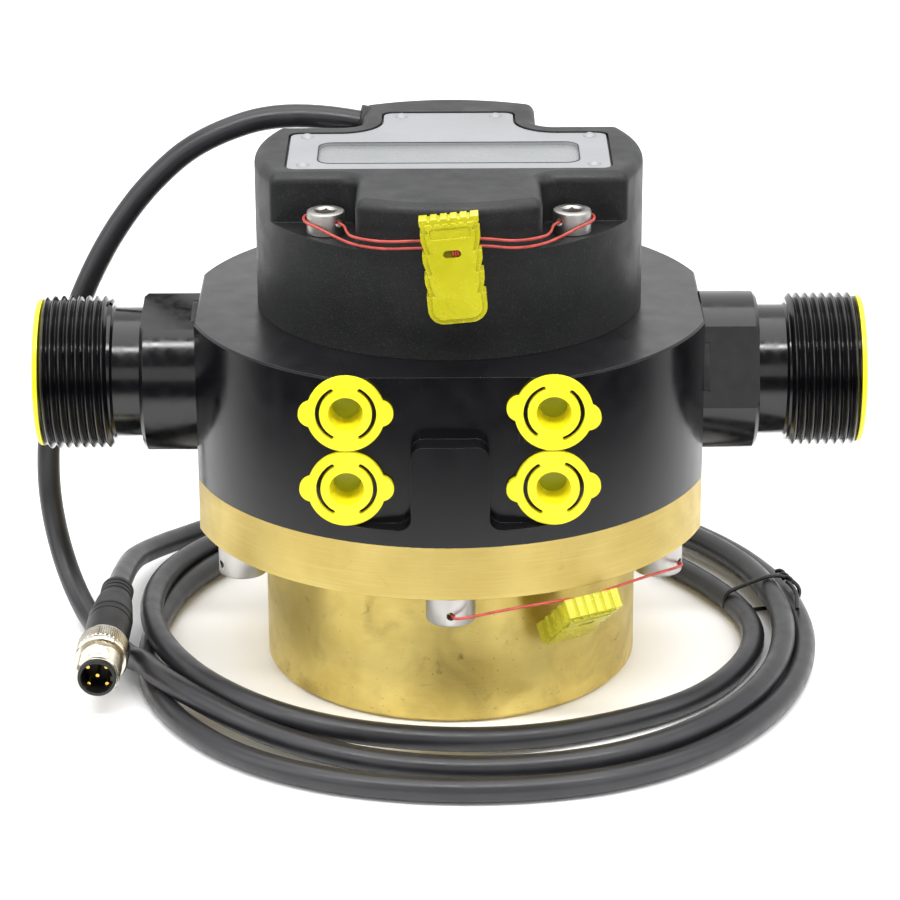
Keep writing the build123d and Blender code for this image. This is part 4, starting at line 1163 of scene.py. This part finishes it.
@dataclass
class SealWires(Piece):
    """Red wires that run from the drilled screws to the two tags."""

    radius: float = 0.38
    level: float = 0.95
    entry_reach: float = 8.6
    entry_tilt: float = 0.4
    inside_reach: float = 2.0
    screw_offset: float = 32.0
    head_z: float = 135.8
    hole_run: tuple = ((0, 45, 0.0), (5, 45, 0.0), (8, 50, 0.0), (12, 62, -0.2))
    wrap_run: tuple = ((4.4, 225, 0.0), (6.3, 215, 0.3), (6.0, 180, 0.2), (6.0, 145, 0.0), (6.4, 110, -0.3),
                       (10.0, 80, -1.2))
    sag: tuple = ((24.8, -48.6, 135.1), (17.0, -52.4, 135.0))
    flange_screws: tuple = ((-1, -90.0), (1, -30.0))
    flange_circle: float = 64.6
    flange_hole_z: float = 40.1
    flange_leave: float = 7.2
    flange_bend: tuple = (8.2, 2.4)
    arch: float = 0.3
    tag_points: tuple = ((8.9, 5.9, -1.6), (4.5, 5.4, -1.5), (2.0, 4.6, -0.6))

    def upper_routes(self) -> list[list[Point]]:
        """Routes of the four upper wires.

        Returns:
            Control points of each wire.
        """
        x, y, z = UPPER_TAG_PLACE
        lean = math.radians(UPPER_TAG_LEAN)
        routes = []
        for side in (-1, 1):
            for level in (-self.level, self.level):
                ends = [(x - level * math.sin(lean) + side * reach * math.cos(lean), y,
                         z + level * math.cos(lean) + side * reach * math.sin(lean) * tilt)
                        for reach, tilt in ((self.entry_reach, self.entry_tilt), (self.inside_reach, 1.0))]
                sag = [(side * across, depth, height + level) for across, depth, height in self.sag]
                routes.append([*self.head_run(side, level), *sag, *ends])
        return routes

    def head_run(self, side: int, level: float) -> list[Point]:
        """Start of a wire at its screw head.

        Args:
            side: Left or right.
            level: Upper wire when positive, which leaves the drilled hole.

        Returns:
            Control points in millimetres.
        """
        points = []
        for radius, turn, rise in self.hole_run if level > 0 else self.wrap_run:
            across, depth, _ = around(radius, -turn)
            points.append((side * (self.screw_offset - across), depth - self.screw_offset, self.head_z + rise))
        return points

    def lower_routes(self) -> list[list[Point]]:
        """Routes of the two lower wires, from the heads into the sides of the tag.

        Returns:
            Control points of each wire.
        """
        tag = lower_tag_matrix()
        bend_out, bend_along = self.flange_bend
        routes = []
        for sign, angle in self.flange_screws:
            out, along = Vector(around(1.0, angle)), Vector(around(1.0, angle - 90 * sign))
            centre = out * self.flange_circle + Vector((0, 0, self.flange_hole_z))
            bend = centre + out * bend_out + along * bend_along
            ends = [tag @ Vector((sign * x * MM, y * MM, z * MM)) / MM for x, y, z in self.tag_points]
            middle = (bend + ends[0]) / 2 + Vector((0, 0, self.arch))
            routes.append([tuple(p) for p in (centre, centre + out * self.flange_leave, bend, middle, *ends)])
        return routes

    def build(self) -> None:
        """Builds both wire sets."""
        for name, routes in (("upper", self.upper_routes()), ("lower", self.lower_routes())):
            wires = [spline_object(route, self.radius, "wire", resolution=8, sides=3) for route in routes]
            self.file(meshed(wires, f"{name}_wire_set"), "red_coated_wire", Body.METER, Slot.RED_WIRE,
                      [f"{name}_seal_wire"])


@dataclass
class TagWindings(Piece):
    """Red wire turns that show in the slot of each seal tag."""

    radius: float = 0.3
    places: tuple = (0.3, 0.95, 1.6)
    run: tuple = ((0.0, -0.95, -0.7), (-0.05, -0.57, 0.0), (0.05, 0.57, 0.0), (0.0, 0.95, -0.7))
    slot_y: float = -1.6
    front: float = 4.0

    def build(self) -> None:
        """Builds the turns of both tags."""
        across, rise, _ = around(1.0, UPPER_TAG_LEAN)
        upper = plane_matrix(UPPER_TAG_PLACE, (across, 0, rise), (0, -1, 0))
        for name, matrix, body in (("upper_winding", upper, Body.METER),
                                   ("lower_winding", lower_tag_matrix(), Body.LOWER_TAG)):
            turns = [spline_object([(place + x, self.slot_y + y, self.front + z) for x, y, z in self.run],
                                   self.radius, "turn", resolution=6, sides=3) for place in self.places]
            self.file(stand(meshed(turns, name), matrix), "red_coated_wire", body, Slot.RED_WIRE)


@dataclass
class Display(Piece):
    """Fine outline round the window of the face plate."""

    length: float = 69.9
    width: float = 20.1
    corner: float = 4.0
    line: float = 0.3
    height: float = 0.12
    centre_y: float = -2.6
    foot: float = 145.08

    def build(self) -> None:
        """Builds the dark outline."""
        bpy.ops.mesh.primitive_plane_add(size=1.0)
        obj = bpy.context.object
        obj.scale = (self.length * MM, self.width * MM, 1)
        bpy.ops.object.transform_apply(scale=True)
        with editing(obj):
            bpy.ops.mesh.bevel(offset=self.corner * MM, segments=10, affect="VERTICES")
            bpy.ops.mesh.inset(thickness=self.line * MM)
            bpy.ops.mesh.delete(type="FACE")
            bpy.ops.mesh.select_all(action="SELECT")
            bpy.ops.mesh.extrude_region_move(TRANSFORM_OT_translate={"value": (0, 0, self.height * MM)})
            bpy.ops.mesh.select_all(action="SELECT")
            bpy.ops.mesh.normals_make_consistent(inside=False)
        stand(obj, moved((0, self.centre_y, self.foot)))
        obj.name = "window_outline"
        self.file(obj, "black_rubber", Body.METER, Slot.DISPLAY)


class Studio:
    """Floor, light and camera."""

    distance: float = 951.246
    elevation: float = 21.103
    target_z: float = 59.024
    focal_px: float = 3439.591
    picture_px: float = 900.0
    sensor_mm: float = 36.0
    roll: float = -0.27
    floor_size: float = 8.0
    floor_drop: float = 0.0002
    floor_tones: tuple = ("#F9F9F9", "#F5F5F5")
    floor_blotch_mm: float = 60.0
    floor_rough: float = 0.85
    mirror_shade_tones: tuple = ("#FAFAFA", "#3A3A3C")
    floor_reach_mm: tuple = (185.0, 310.0)
    floor_depth_mm: tuple = (-60.0, 140.0)
    light_target: Point = (0, 0, 0.07)
    boxes: tuple = (
        ("top_box", (0.0, 0.1, 1.3), (1.6, 1.2), 14.0),
        ("strip", (0.0, -0.62, 1.12), (1.6, 0.11), 15.0),
        ("left_box", (-1.3, -0.5, 0.75), (0.9, 1.1), 8.0),
        ("right_box", (1.3, -0.4, 0.75), (0.9, 1.1), 6.5),
        ("front_box", (0.0, -1.1, 0.4), (1.9, 0.4), 2.8),
        ("front_left_box", (-0.72, -0.9, 0.5), (0.5, 0.6), 1.6),
        ("front_right_box", (0.72, -0.9, 0.5), (0.5, 0.6), 1.8),
    )
    room: tuple = (("From Min", -0.6), ("From Max", 0.5), ("To Min", 0.16), ("To Max", 1.2))

    def floor(self) -> None:
        """Pale floor; for all but camera rays its colour carries painted shade far away in front of the meter and
        beside it, so the meter mirrors it darker there.
        """
        bpy.ops.mesh.primitive_plane_add(size=self.floor_size, location=(0, 0, 0))
        plane = bpy.context.object
        plane.name = "floor"
        plane.location.z = -self.floor_drop
        graph = ShaderGraph("white_sweep")
        seen = graph.mix(graph.noise(self.floor_blotch_mm, detail=2), *map(linear, self.floor_tones))
        away = graph.add("ShaderNodeVectorMath", {0: graph.place_mm}, operation="LENGTH").outputs["Value"]
        near = graph.band(graph.part(graph.place_mm, 1), *self.floor_depth_mm, 1.0, 0.0)
        # Painted shade, seen only in reflections: the floor turns dark far from the meter, in front and beside it.
        painted_far_shade = graph.math("MULTIPLY", graph.band(away, *self.floor_reach_mm), near)
        mirrored = graph.mix(painted_far_shade, *map(linear, self.mirror_shade_tones))
        camera_ray = graph.add("ShaderNodeLightPath").outputs["Is Camera Ray"]
        graph.plain({"Base Color": graph.mix(camera_ray, mirrored, seen), "Roughness": self.floor_rough,
                     "Specular IOR Level": 0.0})
        plane.data.materials.append(graph.material)

    def light(self, name: str, place: Point, size: tuple[float, float], power: float) -> None:
        """One soft box that looks at the meter.

        Args:
            name: Name of the light.
            place: Position in metres.
            size: Width and height in metres.
            power: Watts.
        """
        data = bpy.data.lights.new(name, "AREA")
        data.shape = "RECTANGLE"
        data.size, data.size_y = size
        data.energy = power
        obj = linked(name, data)
        obj.location = place
        aim = Vector(self.light_target) - Vector(place)
        obj.rotation_euler = aim.to_track_quat("-Z", "Y").to_euler()

    def surround(self) -> None:
        """Bright walls behind and beside the meter, a darker room in front of it."""
        world = bpy.data.worlds.new("studio")
        bpy.context.scene.world = world
        world.use_nodes = True
        nodes, links = world.node_tree.nodes, world.node_tree.links
        split = nodes.new("ShaderNodeSeparateXYZ")
        links.new(nodes.new("ShaderNodeTexCoord").outputs["Generated"], split.inputs[0])
        depth = nodes.new("ShaderNodeMapRange")
        depth.interpolation_type = "SMOOTHSTEP"
        for name, value in self.room:
            depth.inputs[name].default_value = value
        links.new(split.outputs[1], depth.inputs["Value"])
        links.new(depth.outputs[0], nodes["Background"].inputs["Strength"])
        nodes["Background"].inputs["Color"].default_value = (1.0, 1.0, 1.0, 1.0)

    def camera(self) -> None:
        """Camera at the viewing angle of the photograph."""
        data = bpy.data.cameras.new("camera")
        data.sensor_width = self.sensor_mm
        data.lens = self.focal_px * self.sensor_mm / self.picture_px
        data.clip_start = 0.01
        data.dof.use_dof = False
        obj = linked("camera", data)
        tilt = math.radians(self.elevation)
        target = Vector((0, 0, self.target_z * MM))
        obj.location = target + Vector((0, -math.cos(tilt), math.sin(tilt))) * self.distance * MM
        turn = (target - obj.location).to_track_quat("-Z", "Y").to_matrix()
        obj.rotation_euler = (turn @ Matrix.Rotation(math.radians(self.roll), 3, "Z")).to_euler()
        bpy.context.scene.camera = obj

    def build(self) -> None:
        """Sets the whole stage."""
        self.floor()
        for box in self.boxes:
            self.light(*box)
        self.surround()
        bpy.context.scene.view_settings.view_transform = "Standard"
        self.camera()


class FlowMeter:
    """The whole meter."""

    assemblies: tuple = (PipeFittings, CapScrews, Connector, SealWires, TagWindings, SignalCable, Display)

    def __init__(self) -> None:
        """Builds the finishes."""
        self.book = FinishBook()

    def build(self) -> None:
        """Gives every CAD piece its finish and builds every sub-assembly."""
        for finish, nodes in CAD_FINISHES.items():
            for node in nodes:
                self.book.dress(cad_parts[node], finish)
                LOG.info("dressed %s: %s", node, finish)
        for assembly in self.assemblies:
            assembly(self.book).build()


def main() -> None:
    """Builds the scene."""
    FlowMeter().build()
    Studio().build()


if __name__ == "__main__":
    main()
